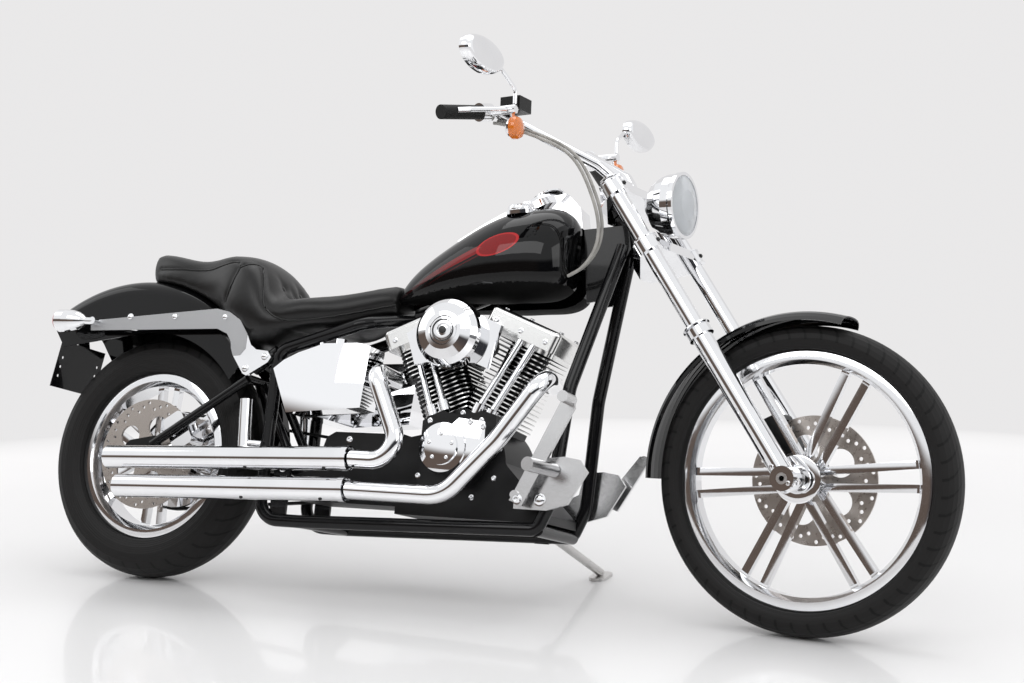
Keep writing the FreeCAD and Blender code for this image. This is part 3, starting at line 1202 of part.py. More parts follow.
TANK_FLANK_SHARES = ((0.45, 0.93), (0.78, 0.76), (0.97, 0.50), (0.96, 0.26), (0.78, 0.07), (0.40, 0.0))
TANK_STATION_SHARES = ((0, 0.30, 0.01, 0.10), (0.08, 0.46, 0, 0.31), (0.25, 0.72, 0, 0.56), (0.45, 0.90, 0.01, 0.80),
                       (0.65, 1.0, 0.01, 0.96), (0.80, 1.0, 0.02, 1.0), (0.90, 0.94, 0.04, 0.98), (0.965, 0.80, 0.10, 0.90),
                       (1.0, 0.50, 0.26, 0.70))


def build_fuel_tank():
    """Two tank halves, one on each side of the backbone."""
    halves = []
    for side, label in SIDES:
        rings = [tank_ring(mm("tank_rear_x") + a * tank_length(), side, mm("tank_half_width") * w,
                           mm("tank_base") + low * mm("tank_rise"), mm("tank_base") + high * mm("tank_rise"))
                 for a, w, low, high in TANK_STATION_SHARES]
        halves.append(solid_feature("tank_half_" + label, Part.makeLoft(rings, True, False)))
    return node(compound("fuel_tank", halves), "fuel_tank", chassis_placement)


def build_oil_tank():
    """Chrome oil tank round the space under the seat, open to the front, with its filler."""
    outline = shares_to_points(OIL_TANK_SHARES, mm("oil_tank_x"), mm("oil_tank_base"), mm("oil_tank_length"),
                               mm("oil_tank_rise"))
    body = new_body("oil_tank_shell")
    side = new_sketch(body, "oil_tank_side", "XZ_Plane")
    draw_outline(side, outline)
    pad(body, side, "oil_tank_block", "2 * sizes.oil_tank_half_width", both=True)
    room = new_sketch(body, "battery_room", "XY_Plane", mm("oil_tank_base") - mm("overrun"))
    inner = mm("oil_tank_half_width") * 0.55
    front = mm("oil_tank_x") + mm("oil_tank_length")
    draw_outline(room, [(mm("oil_tank_x") + inner, -inner), (front + mm("overrun"), -inner),
                        (front + mm("overrun"), inner), (mm("oil_tank_x") + inner, inner)])
    pocket(body, room, "battery_pocket", "sizes.oil_tank_rise + 3 * sizes.overrun", reverse=True)
    x, z = mm("oil_tank_x") + mm("oil_tank_length") * 0.66, mm("oil_tank_base") + mm("oil_tank_rise")
    y = -mm("oil_tank_half_width") + mm("boss_radius") * 1.6
    neck = rod("oil_filler", Vec(x, y, z - 2 * mm("boss_radius")), Vec(x, y, z + mm("boss_radius")), "filler_radius")
    items = [body, neck]
    for side, label in SIDES:
        back, ahead_end = seat_rail(side)
        under = Y_AXIS.cross(ahead_end - back).normalize()
        seat = (back + ahead_end) / 2 + under * (mm("frame_tube_radius") + mm("seat_gap"))
        items.append(rod("oil_tank_boss_" + label, seat, seat + under * 3 * mm("filler_radius"), "boss_radius"))
    return node(fuse("oil_tank", items), "oil_tank", chassis_placement)


OIL_TANK_SHARES = ((0, 0.62), (0.19, 0), (0.96, 0.10), (1.0, 0.95), (0.86, 1.0), (0.52, 0.985), (0.25, 0.85), (0.10, 0.74))


def build_console():
    """Chrome dash on top of the tank with the speedometer housing and two filler caps."""
    x0, length = mm("tank_rear_x"), tank_length()
    base, rise = mm("tank_base"), mm("tank_rise")
    outline = [(x0 + a * length, base + b * rise) for a, b in CONSOLE_SHARES]
    items = [plate("console_spine", outline, "2 * (sizes.tunnel_half_width - sizes.pin_gap)", both=True)]
    turn = move(x0 + 0.76 * length, 0, base + 1.0 * rise, Y_AXIS, -28)
    dial = [(0, 0), (1.0, 0), (1.0, 0.35), (0.92, 0.52), (0.80, 0.60), (0, 0.60)]
    items.append(turned("speedometer", [(a * mm("console_half_width"), b * mm("console_half_width")) for a, b in dial],
                        turn))
    halves = [piece.Shape for piece in doc.getObject("fuel_tank").Links]
    tank = solid_feature("console_seat", Part.makeCompound(halves))
    console = cut("tank_console", fuse("console_solid", items), tank)
    return node(console, "tank_console", chassis_placement)


CONSOLE_SHARES = ((0.30, 0.64), (0.30, 0.70), (0.45, 0.88), (0.62, 1.06), (0.66, 1.10), (0.90, 1.18), (0.98, 1.02),
                  (1.0, 0.80), (0.97, 0.80), (0.85, 0.98), (0.62, 0.95), (0.45, 0.78))



def on_fork(x, y, z, axis=Z_AXIS, angle=0):
    """Fork-frame placement of a spot given in the straight-ahead chassis frame."""
    return fork_straight.inverse().multiply(move(x, y, z, axis, angle))


ahead = fork_straight.inverse().Rotation.multVec(X_AXIS)
upward = fork_straight.inverse().Rotation.multVec(Z_AXIS)


def bar_points(side):
    """Corners of one half of the handlebar in the fork frame, from riser to end."""
    base = mm("upper_clamp_base") + mm("clamp_thickness") + mm("riser_height")
    x = mm("fork_offset") - mm("riser_setback")
    pull, rise, spread = mm("bar_pull"), mm("bar_rise"), mm("bar_spread")
    shoulder = Vec(x, side * mm("riser_spacing"), base)
    knee = Vec(x - pull * 0.08, side * (mm("riser_spacing") + spread * 0.20), base + rise * 0.19)
    wrist = Vec(x - pull, side * (mm("riser_spacing") + spread), base + rise)
    out = Vec(*(a * (side if n == 1 else 1) for n, a in enumerate(GRIP_DIRECTION_SHARES))).normalize()
    end = wrist + out * mm("bar_end_run")
    return shoulder, knee, wrist, end, out


GRIP_DIRECTION_SHARES = (-0.28, 0.96, -0.07)


def build_handlebar():
    right, left = bar_points(RIGHT), bar_points(LEFT)
    points = [right[3], right[2], right[1], right[0], left[0], left[1], left[2], left[3]]
    wide, tight = mm("bar_bend"), mm("bar_bend") * 0.6
    items = [tube("bar", points, "bar_radius", [wide, wide, tight, tight, wide, wide])]
    base = mm("upper_clamp_base") + mm("clamp_thickness")
    for side, label in SIDES:
        x, y = right[0].x, side * mm("riser_spacing") * 0.6
        items.append(rod("riser_" + label, Vec(x, y, base), Vec(x, y, base + mm("riser_height") + 1.3 * mm("bar_radius")),
                         "riser_radius"))
    return node(fuse("handlebar", items), "handlebar", fork_placement)


def build_grip(side, label):
    """Rubber grip sleeve with a bright end cap."""
    *_, end, out = bar_points(side)
    start = end - out * mm("grip_length")
    sleeve = rod("grip_sleeve_" + label, start, end + out * mm("rim_wall"), "grip_radius")
    hole = rod("grip_hole_" + label, start - out * mm("overrun"), end, "bar_radius")
    return node(cut("grip_" + label, sleeve, hole), "grip_" + label, fork_placement)


def perch_point(side):
    """Spot on one bar end where the lever perch sits, with the direction out along the bar."""
    *_, end, out = bar_points(side)
    return end - out * (mm("grip_length") + mm("seat_gap") + mm("switch_length") * 0.65), out


def build_hand_control(side, label):
    """Switch housing round the bar, lever perch, lever and, on the right, the square reservoir."""
    *_, end, out = bar_points(side)
    perch, out = perch_point(side)
    start = end - out * (mm("grip_length") + mm("seat_gap"))
    inner = start - out * mm("switch_length")
    name = "hand_control_" + label
    reach = mm("lever_reach")
    items = [rod(name + "_switch", inner, start, "switch_radius"),
             rod(name + "_perch", perch + ahead * mm("bar_radius") * 1.2, perch + ahead * reach, "perch_radius")]
    blade = [perch + ahead * reach * 0.72 - out * mm("perch_radius"), start + ahead * reach * 0.86,
             end + ahead * reach * 0.70 - out * mm("overrun"), end + ahead * reach * 0.55 + out * mm("rim_wall")]
    items.append(tube(name + "_lever", blade, "lever_radius", [mm("overrun"), mm("overrun")]))
    if side == RIGHT:
        corner = perch - out * mm("reservoir_size") * 0.72 + ahead * reach * 0.62
        turn = FreeCAD.Placement(corner, fork_straight.inverse().Rotation)
        items.append(primitive("Part::Box", name + "_reservoir",
                               turn.multiply(move(-mm("reservoir_size") / 2, -mm("reservoir_size") / 2, -mm("lever_radius"))),
                               Length=cell("reservoir_size"), Width=cell("reservoir_size"),
                               Height=cell("reservoir_size") + " * 0.62"))
    solid = fuse(name + "_solid", items)
    return node(cut(name, solid, doc.getObject("bar")), name, fork_placement)


def build_mirror(side, label):
    """Oval mirror: half an ellipsoid on a curved stem from the front of the lever perch."""
    perch, out = perch_point(side)
    spread, height = mm("mirror_spread"), mm("mirror_lift")
    foot = perch + ahead * (mm("lever_reach") - mm("mirror_stem_radius")) + upward * (mm("perch_radius") + 2 * mm("pin_gap"))
    centre = perch + ahead * mm("lever_reach") * 0.86 + upward * height + Vec(0, side * spread, 0)
    route = [foot, foot + upward * height * 0.38, centre - upward * height * 0.12 - Vec(0, side * spread * 0.62, 0), centre]
    stem = tube("mirror_stem_" + label, route, "mirror_stem_radius", [mm("overrun")] * 2)
    turn = FreeCAD.Placement(centre, fork_straight.inverse().Rotation)
    depth = mm("mirror_depth")
    shell = new_body("mirror_shell_" + label, turn.multiply(move(-depth * 0.3)))
    sketch = new_sketch(shell, "mirror_oval_" + label, "YZ_Plane")
    oval = Part.Ellipse(Vec(0, 0, 0), mm("mirror_width") / 2, mm("mirror_height") / 2)
    sketch.addGeometry(oval)
    pad(shell, sketch, "mirror_pad_" + label, cell("mirror_depth"))
    soften_forward(shell, "mirror_round_" + label, shell.Tip, depth, depth * 0.75)
    return node(fuse("mirror_" + label, [stem, shell]), "mirror_" + label, fork_placement)


def build_headlamp():
    """Bullet headlamp with a bezel ring, on a stem from the lower clamp."""
    radius, length = mm("headlamp_radius"), mm("headlamp_length")
    centre = on_fork(mm("headlamp_x"), 0, mm("headlamp_height"), Y_AXIS, -90)
    shell = turned("headlamp_shell", [(a * radius, b * length) for a, b in HEADLAMP_SHARES], centre)
    top = mm("lower_clamp_base") + mm("clamp_thickness")
    x = mm("fork_offset") + mm("boss_radius")
    stem = rod("headlamp_stem", Vec(x, 0, top), Vec(x, 0, top + mm("headlamp_radius") * 0.7), "boss_radius")
    lens = turned("headlamp_glass", [(a * radius, b * length) for a, b in LENS_SHARES], centre)
    node(lens, "headlamp_lens", fork_placement)
    return node(fuse("headlamp", [shell, stem]), "headlamp", fork_placement)


HEADLAMP_SHARES = ((0, 0.06), (0.90, 0.06), (0.90, 0), (1.0, 0), (1.0, 0.10), (0.97, 0.14), (0.96, 0.34), (0.88, 0.56),
                   (0.72, 0.77), (0.46, 0.93), (0, 1.0))
LENS_SHARES = ((0, -0.10), (0.45, -0.08), (0.80, -0.01), (0.90, 0.02), (0.90, 0.06), (0, 0.06))


def build_front_signals():
    """Amber bullet signals hung under the front of the lever perches, one solid on each side."""
    items = []
    radius = mm("signal_radius")
    for side, label in SIDES:
        perch, out = perch_point(side)
        root = perch + ahead * (mm("lever_reach") - mm("boss_radius"))
        centre = root - upward * mm("signal_drop") + ahead * mm("rim_wall")
        turn = FreeCAD.Placement(centre, fork_straight.inverse().Rotation).multiply(move(axis=Y_AXIS, angle=90))
        body = turned("signal_body_" + label, [(a * radius, b * radius) for a, b in SIGNAL_SHARES], turn)
        top = root - upward * (mm("perch_radius") + 2 * mm("pin_gap"))
        items.append(fuse("signal_" + label, [body, rod("signal_stalk_" + label, top, centre, "lever_radius")]))
    return node(compound("front_signals", items), "front_signals", fork_placement)


SIGNAL_SHARES = ((0, -0.6), (0.6, -0.55), (0.95, -0.2), (1.0, 0), (1.0, 0.35), (0.9, 0.55), (0.5, 0.70), (0, 0.75))


def build_front_fender():
    """Short fender hugging the front tyre, with a mounting boss on each side."""
    radius, half, skirt = mm("front_fender_radius"), mm("front_fender_half_width"), mm("front_fender_skirt")
    skin = mm("fender_skin")
    body = new_body("front_fender_shell", move(mm("fork_offset"), 0, 0, Y_AXIS, -mm("front_fender_tilt")))
    sketch = new_sketch(body, "front_fender_section", "YZ_Plane")
    outer = [(a * half, radius - b * skirt) for a, b in FENDER_SECTION_SHARES]
    inner = [(a * (half - skin), radius - skin - b * (skirt - skin)) for a, b in FENDER_SECTION_SHARES]
    ring = [(-a, b) for a, b in reversed(outer)] + outer[1:] + list(reversed(inner)) + [(-a, b) for a, b in inner[1:]]
    draw_outline(sketch, ring)
    turn = body.newObject("PartDesign::Revolution", "front_fender_turn")
    turn.Profile = sketch
    turn.ReferenceAxis = (sketch, ["H_Axis"])
    turn.Angle = 2 * mm("front_fender_half_angle")
    turn.Midplane = True
    doc.recompute([body])
    items = [body]
    x = mm("fork_offset")
    face = mm("fork_half_spacing") - mm("slider_radius")
    for side, label in SIDES:
        z = radius - skirt * 0.65
        items.append(rod("fender_boss_" + label, Vec(x, side * (half - skin), z),
                         Vec(x, side * (face - mm("pin_gap")), z), "boss_radius"))
    return node(fuse("front_fender", items), "front_fender", fork_placement)


FENDER_SECTION_SHARES = ((0, 0), (0.35, 0.03), (0.65, 0.13), (0.87, 0.34), (0.98, 0.66), (1.0, 1.0))


def build_caliper(name, centre, axle_point, plane, inner_y, outer_y, disc_radius, group):
    """Caliper block slotted for its disc with a running clearance on every side."""
    size_x, size_z = mm("caliper_length"), mm("caliper_height")
    width = abs(outer_y - inner_y)
    body = new_body(name + "_block", move(centre.x, (inner_y + outer_y) / 2, centre.z, Y_AXIS, centre.y))
    sketch = new_sketch(body, name + "_face", "XZ_Plane")
    draw_rounded_box(sketch, size_x, size_z, mm("rocker_corner"))
    pad(body, sketch, name + "_pad", width, both=True)
    gap = mm("disc_thickness") / 2 + mm("running_gap")
    slot = primitive("Part::Cylinder", name + "_slot", FreeCAD.Placement(
        axle_point + Vec(0, plane - gap, 0), FreeCAD.Rotation(Z_AXIS, Y_AXIS)), Height=str(2 * gap) + " mm",
        Radius=str(disc_radius + mm("running_gap")) + " mm")
    return node(cut(name, body, slot), name, group)


def build_calipers():
    slider_face = mm("fork_half_spacing") - mm("slider_radius")
    plane = mm("front_disc_offset")
    x, z = mm("fork_offset"), mm("front_disc_radius")
    build_caliper("front_caliper", Vec(x - z * 0.10, 8, z * 0.86), Vec(x, 0, 0), plane, plane - mm("caliper_inset"),
                  slider_face, z, fork_placement)
    plane = -mm("rear_disc_offset")
    radius = mm("rear_disc_radius")
    face = -(mm("swingarm_spacing") - mm("swingarm_tube_radius"))
    build_caliper("rear_caliper", Vec(radius * 0.76, -33, rear_axle.z + radius * 0.42), rear_axle, plane,
                  plane + mm("caliper_inset") * 0.8, face, radius, chassis_placement)


def build_front_pulley():
    body = new_body("front_pulley", move(mm("front_pulley_x"), 0, mm("primary_height")))
    face = new_sketch(body, "front_pulley_section", "YZ_Plane")
    start, band, radius = mm("rear_pulley_offset"), mm("belt_width"), mm("front_pulley_radius")
    shaft = radius * 0.4
    draw_outline(face, [(mm("gearbox_left"), 0), (mm("gearbox_left"), shaft), (start, shaft), (start, radius),
                        (start + band, radius), (start + band, shaft), (mm("crankcase_half_width"), shaft),
                        (mm("crankcase_half_width"), 0)])
    revolve(body, face, "front_pulley_turn", "H_Axis")
    return node(body, "front_pulley", chassis_placement)


def build_drive_belt():
    """Toothless outer form of the belt round both pulleys, with a running gap."""
    body = new_body("drive_belt", move(0, mm("rear_pulley_offset")))
    sketch = new_sketch(body, "belt_outline", "XZ_Plane")
    gap, thickness = mm("belt_gap"), mm("belt_thickness")
    for spread in (gap + thickness, gap):
        stadium(sketch, 0, rear_axle.z, mm("rear_pulley_radius") + spread, mm("front_pulley_x"), mm("primary_height"),
                mm("front_pulley_radius") + spread)
    pad(body, sketch, "belt_band", cell("belt_width"), reverse=True)
    return node(body, "drive_belt", chassis_placement)


def build_foot_control(side, label):
    """Forward bracket on the frame rail with foot peg, pedal arm and toe piece."""
    x, z = mm("foot_control_x"), mm("foot_control_height")
    size = mm("foot_bracket_size")
    face = mm("rail_spacing") + mm("frame_tube_radius") + mm("pin_gap")
    thick = mm("axle_plate_thickness")
    name = "foot_control_" + label
    bracket = plate(name + "_bracket", [(x + a * size, z + b * size) for a, b in FOOT_BRACKET_SHARES],
                    cell("axle_plate_thickness"), move(0, side * face), reverse=side == LEFT)
    out = face + thick
    peg_z = z + size * 0.55
    peg = rod(name + "_peg", Vec(x, side * out, peg_z), Vec(x - size * 0.2, side * (out + mm("peg_length")), peg_z),
              "peg_radius")
    arm_y = out + mm("overrun")
    arm = plate(name + "_arm", [(x + a * size, z + b * size) for a, b in FOOT_ARM_SHARES[side]],
                cell("axle_plate_thickness"), move(0, side * arm_y), reverse=side == LEFT)
    foot = FOOT_ARM_SHARES[side][0]
    pivot = rod(name + "_pivot", Vec(x + (foot[0] + 0.12) * size, side * out, z + (foot[1] + 0.12) * size),
                Vec(x + (foot[0] + 0.12) * size, side * (arm_y + thick + mm("rim_wall")), z + (foot[1] + 0.12) * size),
                "boss_radius")
    tip = FOOT_ARM_SHARES[side][3]
    toe = rod(name + "_toe", Vec(x + (tip[0] - 0.08) * size, side * arm_y, z + (tip[1] - 0.08) * size),
              Vec(x + (tip[0] - 0.08) * size, side * (arm_y + mm("toe_length")), z + (tip[1] - 0.08) * size),
              "toe_radius")
    return node(fuse(name, [bracket, peg, arm, pivot, toe]), name, chassis_placement)


FOOT_BRACKET_SHARES = ((-0.85, -0.30), (-0.10, -0.30), (0.35, -0.15), (0.75, 0.55), (0.55, 0.80), (0.20, 0.85), (-0.25, 0.80),
                       (-0.35, 0.30), (-0.85, 0.05))
FOOT_ARM_SHARES = {RIGHT: ((-0.85, -0.15), (-0.55, -0.25), (0.45, 1.85), (0.42, 2.10), (0.20, 2.15), (-0.70, 0.15)),
                   LEFT: ((0.20, 0.10), (0.50, 0.0), (1.10, 1.05), (1.12, 1.25), (0.95, 1.28), (0.30, 0.40))}


def build_passenger_pegs():
    """Folded passenger pegs, one solid on each rear frame post."""
    items = []
    for side, label in SIDES:
        y = side * (mm("rail_rear_spacing") + mm("frame_tube_radius") + mm("pin_gap"))
        base = Vec(mm("rear_post_x"), y, mm("peg_mount_height"))
        hinge = base + Vec(-mm("peg_setback"), side * mm("peg_radius"), 0)
        items.append(fuse("passenger_peg_" + label, [
            rod("peg_arm_" + label, base + Vec(0, side * mm("boss_radius"), 0), hinge, "boss_radius"),
            rod("peg_sleeve_" + label, hinge - Vec(0, 0, mm("boss_radius")), hinge + Vec(-mm("boss_radius"), 0,
                                                                                         mm("peg_length")), "peg_radius")]))
    return node(compound("passenger_pegs", items), "passenger_pegs", chassis_placement)


for end in ("rear", "front"):
    build_tyre(end)
    build_rim(end)
build_disc("rear", RIGHT)
build_disc("front", LEFT)
build_rear_pulley()
build_swingarm()
build_side_stand()
build_axle("rear", mm("swingarm_spacing") + mm("overrun"), chassis_placement, move(*rear_axle))
build_axle("front", mm("fork_half_spacing") + mm("slider_radius") + mm("rim_wall"), fork_placement,
           move(mm("fork_offset")))
for side, label in SIDES:
    fork_leg(side, "fork_leg_" + label)
build_triple_clamps()
build_frame()
for way, name in CYLINDERS:
    build_cylinder(way, name)
    build_rocker_cover(way, name)
build_pushrod_tubes()
build_crankcase()
build_cam_cover()
build_gearbox()
build_primary_cover()
build_intake()
build_air_cleaner()
build_exhausts()
build_rear_fender()
build_inner_fender()
for side, label in SIDES:
    build_strut(side, label)
    build_rear_lamp(side, label)
build_plate_bracket()
build_fuel_tank()
build_oil_tank()
build_console()
build_seat()
build_handlebar()
for side, label in SIDES:
    build_grip(side, label)
    build_hand_control(side, label)
    build_mirror(side, label)
    build_foot_control(side, label)
build_headlamp()
build_front_signals()
build_front_fender()
build_calipers()
build_front_pulley()
build_drive_belt()
build_passenger_pegs()

doc.recompute()
bounds = FreeCAD.BoundBox()
for item in nodes:
    bounds.add(item.Shape.optimalBoundingBox(False))
to_origin = Vec(-bounds.Center.x, -bounds.Center.y, -bounds.ZMin)
for item in nodes:
    item.Placement = FreeCAD.Placement(to_origin, FreeCAD.Rotation()).multiply(item.Placement)
doc.recompute()
for item in nodes:
    faults = [flag for flag in item.State if flag in ("Invalid", "Error")]
    if faults or item.Shape.isNull() or not item.Shape.isValid():
        raise RuntimeError("sub-part %s did not build: %s" % (item.Label, faults))
    item.Shape.exportStep("parts/%s.step" % item.Label)
stand_root, stand_leg, stand_up = stand_axis_frame()
report = [("rear_axle", rear_axle, Y_AXIS), ("front_axle", front_centre, front_direction),
          ("steering", steering_foot, steering_up), ("stand", stand_root, stand_up)]
report += [(name, tip, along) for name, (tip, along) in EXHAUST_TIPS.items()]
for side, label in SIDES:
    *_, end, out = bar_points(side)
    report.append(("bar_end_" + label, fork_turned.multVec(end), fork_turned.Rotation.multVec(out)))
for name, point, direction in report:
    spot = chassis_placement.multVec(point) + to_origin
    along = chassis_placement.Rotation.multVec(direction)
    print("POINT", name, *(round(v, 5) for v in (*spot, *along)))
print("BOX", bounds.XLength, bounds.YLength, bounds.ZLength, "nodes", len(nodes))
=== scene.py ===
import bpy
import bmesh
import json
import math
from mathutils import Matrix, Vector, kdtree
from mathutils.bvhtree import BVHTree


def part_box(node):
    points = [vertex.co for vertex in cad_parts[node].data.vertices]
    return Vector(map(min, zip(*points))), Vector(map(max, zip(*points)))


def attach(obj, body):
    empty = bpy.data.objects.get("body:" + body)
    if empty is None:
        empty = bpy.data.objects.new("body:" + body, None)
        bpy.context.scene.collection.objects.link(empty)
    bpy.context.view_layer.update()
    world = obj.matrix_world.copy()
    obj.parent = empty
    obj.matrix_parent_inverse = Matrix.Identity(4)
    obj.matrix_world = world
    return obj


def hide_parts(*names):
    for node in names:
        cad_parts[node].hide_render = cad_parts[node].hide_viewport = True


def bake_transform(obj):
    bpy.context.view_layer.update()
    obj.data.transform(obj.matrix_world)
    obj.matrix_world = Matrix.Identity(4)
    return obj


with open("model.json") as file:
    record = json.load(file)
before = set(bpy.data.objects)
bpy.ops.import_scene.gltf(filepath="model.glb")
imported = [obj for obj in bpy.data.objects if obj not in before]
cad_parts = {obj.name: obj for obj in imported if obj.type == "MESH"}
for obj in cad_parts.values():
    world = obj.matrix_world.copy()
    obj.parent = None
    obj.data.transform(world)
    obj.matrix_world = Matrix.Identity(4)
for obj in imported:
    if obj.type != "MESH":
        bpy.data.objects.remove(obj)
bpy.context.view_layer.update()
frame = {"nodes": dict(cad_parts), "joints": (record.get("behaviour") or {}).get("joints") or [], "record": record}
NODES = frame["nodes"]
JOINTS = {joint["name"]: joint for joint in frame["joints"]}

# Sides of the motorcycle along the local Y axis.
RIGHT = -1
LEFT = 1
SIDES = ((RIGHT, "right"), (LEFT, "left"))

# Sizes in millimetres and angles that the solids were built with.
REAR_RADIUS = 322
FRONT_RADIUS = 343
FORK_LEAD = 55
RAKE = math.radians(33.59)
CRANK_CENTRE = (925, 0, 330)
CYLINDER_LEAN = math.radians(22.5)
CYLINDERS = ((1, "front"), (-1, "rear"))

# Directions of the motorcycle in the row frame, read from its joints.
REAR = Vector(JOINTS["rear_wheel_spin"]["pos_m"])
AXIS_Y = Vector(JOINTS["rear_wheel_spin"]["axis"]).normalized()
FORK_Y = Vector(JOINTS["front_wheel_spin"]["axis"]).normalized()
STEER = Vector(JOINTS["steering"]["axis"]).normalized()
AHEAD = AXIS_Y.cross(STEER).normalized()
AXIS_X = AHEAD * math.cos(RAKE) - STEER * math.sin(RAKE)
AXIS_Z = AHEAD * math.sin(RAKE) + STEER * math.cos(RAKE)


def frame_matrix(origin, x, y, z):
    """Matrix that takes millimetres in a local frame to metres in the row frame."""
    turn = Matrix((x, y, z)).transposed().to_4x4()
    return Matrix.Translation(origin) @ turn @ Matrix.Scale(0.001, 4)


# CHASSIS has its origin on the ground under the rear axle, with X ahead, Y to the left and Z up.
# FORK has its origin on the steering axis, behind the front axle, with Z up along that axis.
CHASSIS = frame_matrix(REAR, AXIS_X, AXIS_Y, AXIS_Z) @ Matrix.Translation((0, 0, -REAR_RADIUS))
REAR_WHEEL = CHASSIS @ Matrix.Translation((0, 0, REAR_RADIUS))
FORK = frame_matrix(Vector(JOINTS["steering"]["pos_m"]), FORK_Y.cross(STEER), FORK_Y, STEER)
FRONT_WHEEL = FORK @ Matrix.Translation((FORK_LEAD, 0, 0))


def cylinder_matrix(way):
    """Frame on the crank centre whose Z runs up one cylinder."""
    return CHASSIS @ Matrix.Translation(CRANK_CENTRE) @ Matrix.Rotation(CYLINDER_LEAN * way, 4, "Y")


def row_axis(matrix, direction):
    """Direction of a local frame, as a unit vector in the row frame."""
    return (matrix.to_3x3() @ Vector(direction)).normalized()


class Graph:
    """Short way to build a tree of shader nodes."""

    def __init__(self, tree):
        self.tree = tree

    def add(self, kind, **settings):
        """Makes a node; each setting is one of its inputs or else one of its properties."""
        made = self.tree.nodes.new(kind)
        for key, value in settings.items():
            if key in made.inputs:
                made.inputs[key].default_value = value
            else:
                setattr(made, key, value)
        return made

    def link(self, start, end):
        self.tree.links.new(start, end)

    def give(self, socket, value):
        """Sets an input to a number or a colour, or links another node's output to it."""
        if isinstance(value, tuple):
            socket.default_value = (*value, 1)
        elif isinstance(value, (int, float)):
            socket.default_value = value
        else:
            self.link(value, socket)

    def math(self, operation, a, b=None):
        made = self.add("ShaderNodeMath", operation=operation)
        self.give(made.inputs[0], a)
        if b is not None:
            self.give(made.inputs[1], b)
        return made.outputs["Value"]

    def plus(self, a, b):
        return self.math("ADD", a, b)

    def minus(self, a, b):
        return self.math("SUBTRACT", a, b)

    def times(self, a, b):
        return self.math("MULTIPLY", a, b)

    def mix(self, factor, a, b):
        """Mixes two colours; inputs 6 and 7 and output 2 are the node's colour sockets."""
        made = self.add("ShaderNodeMix", data_type="RGBA")
        for number, value in ((0, factor), (6, a), (7, b)):
            self.give(made.inputs[number], value)
        return made.outputs[2]

    def ramp(self, value, stops):
        """Ramp between two stops, each a place with a grey or a colour."""
        made = self.add("ShaderNodeValToRGB")
        for element, (place, shade) in zip(made.color_ramp.elements, stops):
            element.position = place
            element.color = (*shade, 1) if isinstance(shade, tuple) else (shade, shade, shade, 1)
        self.link(value, made.inputs["Fac"])
        return made.outputs["Color"]

    def span(self, value, low, high):
        """Smooth step from 0 to 1 while a value goes from low to high."""
        made = self.add("ShaderNodeMapRange", interpolation_type="SMOOTHSTEP")
        made.inputs["From Min"].default_value = low
        made.inputs["From Max"].default_value = high
        self.link(value, made.inputs["Value"])
        return made.outputs["Result"]

    def squares(self, a, b):
        """Sum of the squares of two values."""
        return self.plus(self.times(a, a), self.times(b, b))

    def length(self, a, b):
        """Length of the vector that has two values as its parts."""
        return self.math("SQRT", self.squares(a, b))

    def turns(self, x, z):
        """Angle around the Y axis, in full turns."""
        return self.math("DIVIDE", self.math("ARCTAN2", z, x), 2 * math.pi)


class Nodes(Graph):
    """Node tree of one new material, around its Principled shader."""

    def __init__(self, name):
        self.mat = bpy.data.materials.new(name)
        self.mat.use_nodes = True
        super().__init__(self.mat.node_tree)
        self.shader = self.tree.nodes["Principled BSDF"]
        self.coords = self.add("ShaderNodeTexCoord").outputs["Object"]

    def set(self, **settings):
        """Gives inputs of the shader their values; an underscore stands for a space."""
        for key, value in settings.items():
            self.give(self.shader.inputs[key.replace("_", " ")], value)

    def noise(self, scale, detail=4.0, roughness=0.5, stretch=None):
        """Noise over the object's coordinates, stretched where that is asked for."""
        source = self.coords
        if stretch:
            mapping = self.add("ShaderNodeMapping")
            mapping.inputs["Scale"].default_value = stretch
            self.link(source, mapping.inputs["Vector"])
            source = mapping.outputs["Vector"]
        made = self.add("ShaderNodeTexNoise", Scale=scale, Detail=detail, Roughness=roughness)
        self.link(source, made.inputs["Vector"])
        return made.outputs["Fac"]

    def vary(self, socket, noise, low, high, top=0.75):
        """Lets a noise move one input of the shader between two values."""
        self.link(self.ramp(noise, [(0.3, low), (top, high)]), self.shader.inputs[socket])

    def bump(self, height, strength, distance):
        """Adds a bump, in metres, on top of any that the shader has."""
        made = self.add("ShaderNodeBump", Strength=strength, Distance=distance)
        self.link(height, made.inputs["Height"])
        normal = self.shader.inputs["Normal"]
        if normal.links:
            self.link(normal.links[0].from_socket, made.inputs["Normal"])
        self.link(made.outputs["Normal"], normal)

    def local(self, matrix):
        """Object coordinates turned into the units of a local frame."""
        back = matrix.inverted()
        found = []
        for number in range(3):
            along = self.add("ShaderNodeVectorMath", operation="DOT_PRODUCT")
            self.link(self.coords, along.inputs[0])
            along.inputs[1].default_value = back[number][:3]
            found.append(self.plus(along.outputs["Value"], back[number][3]))
        return found


def scaled(tint, share):
    """The same colour, darker or lighter."""
    return tuple(part * share for part in tint)


def metal(name, tint, rough, spread, grain=60, stretch=None, bump=0.0):
    """Polished or brushed metal with a faint change of roughness over its face."""
    n = Nodes(name)
    n.set(Metallic=1.0, Roughness=rough, Base_Color=tint)
    n.vary("Base Color", n.noise(scale=9, detail=5), scaled(tint, 0.93), tint, top=0.7)
    fine = n.noise(grain, 6, roughness=0.6, stretch=stretch) if stretch else n.noise(grain, 4)
    n.vary("Roughness", fine, rough, rough + spread)
    if bump:
        n.bump(fine, strength=bump, distance=0.0004)
    return n.mat


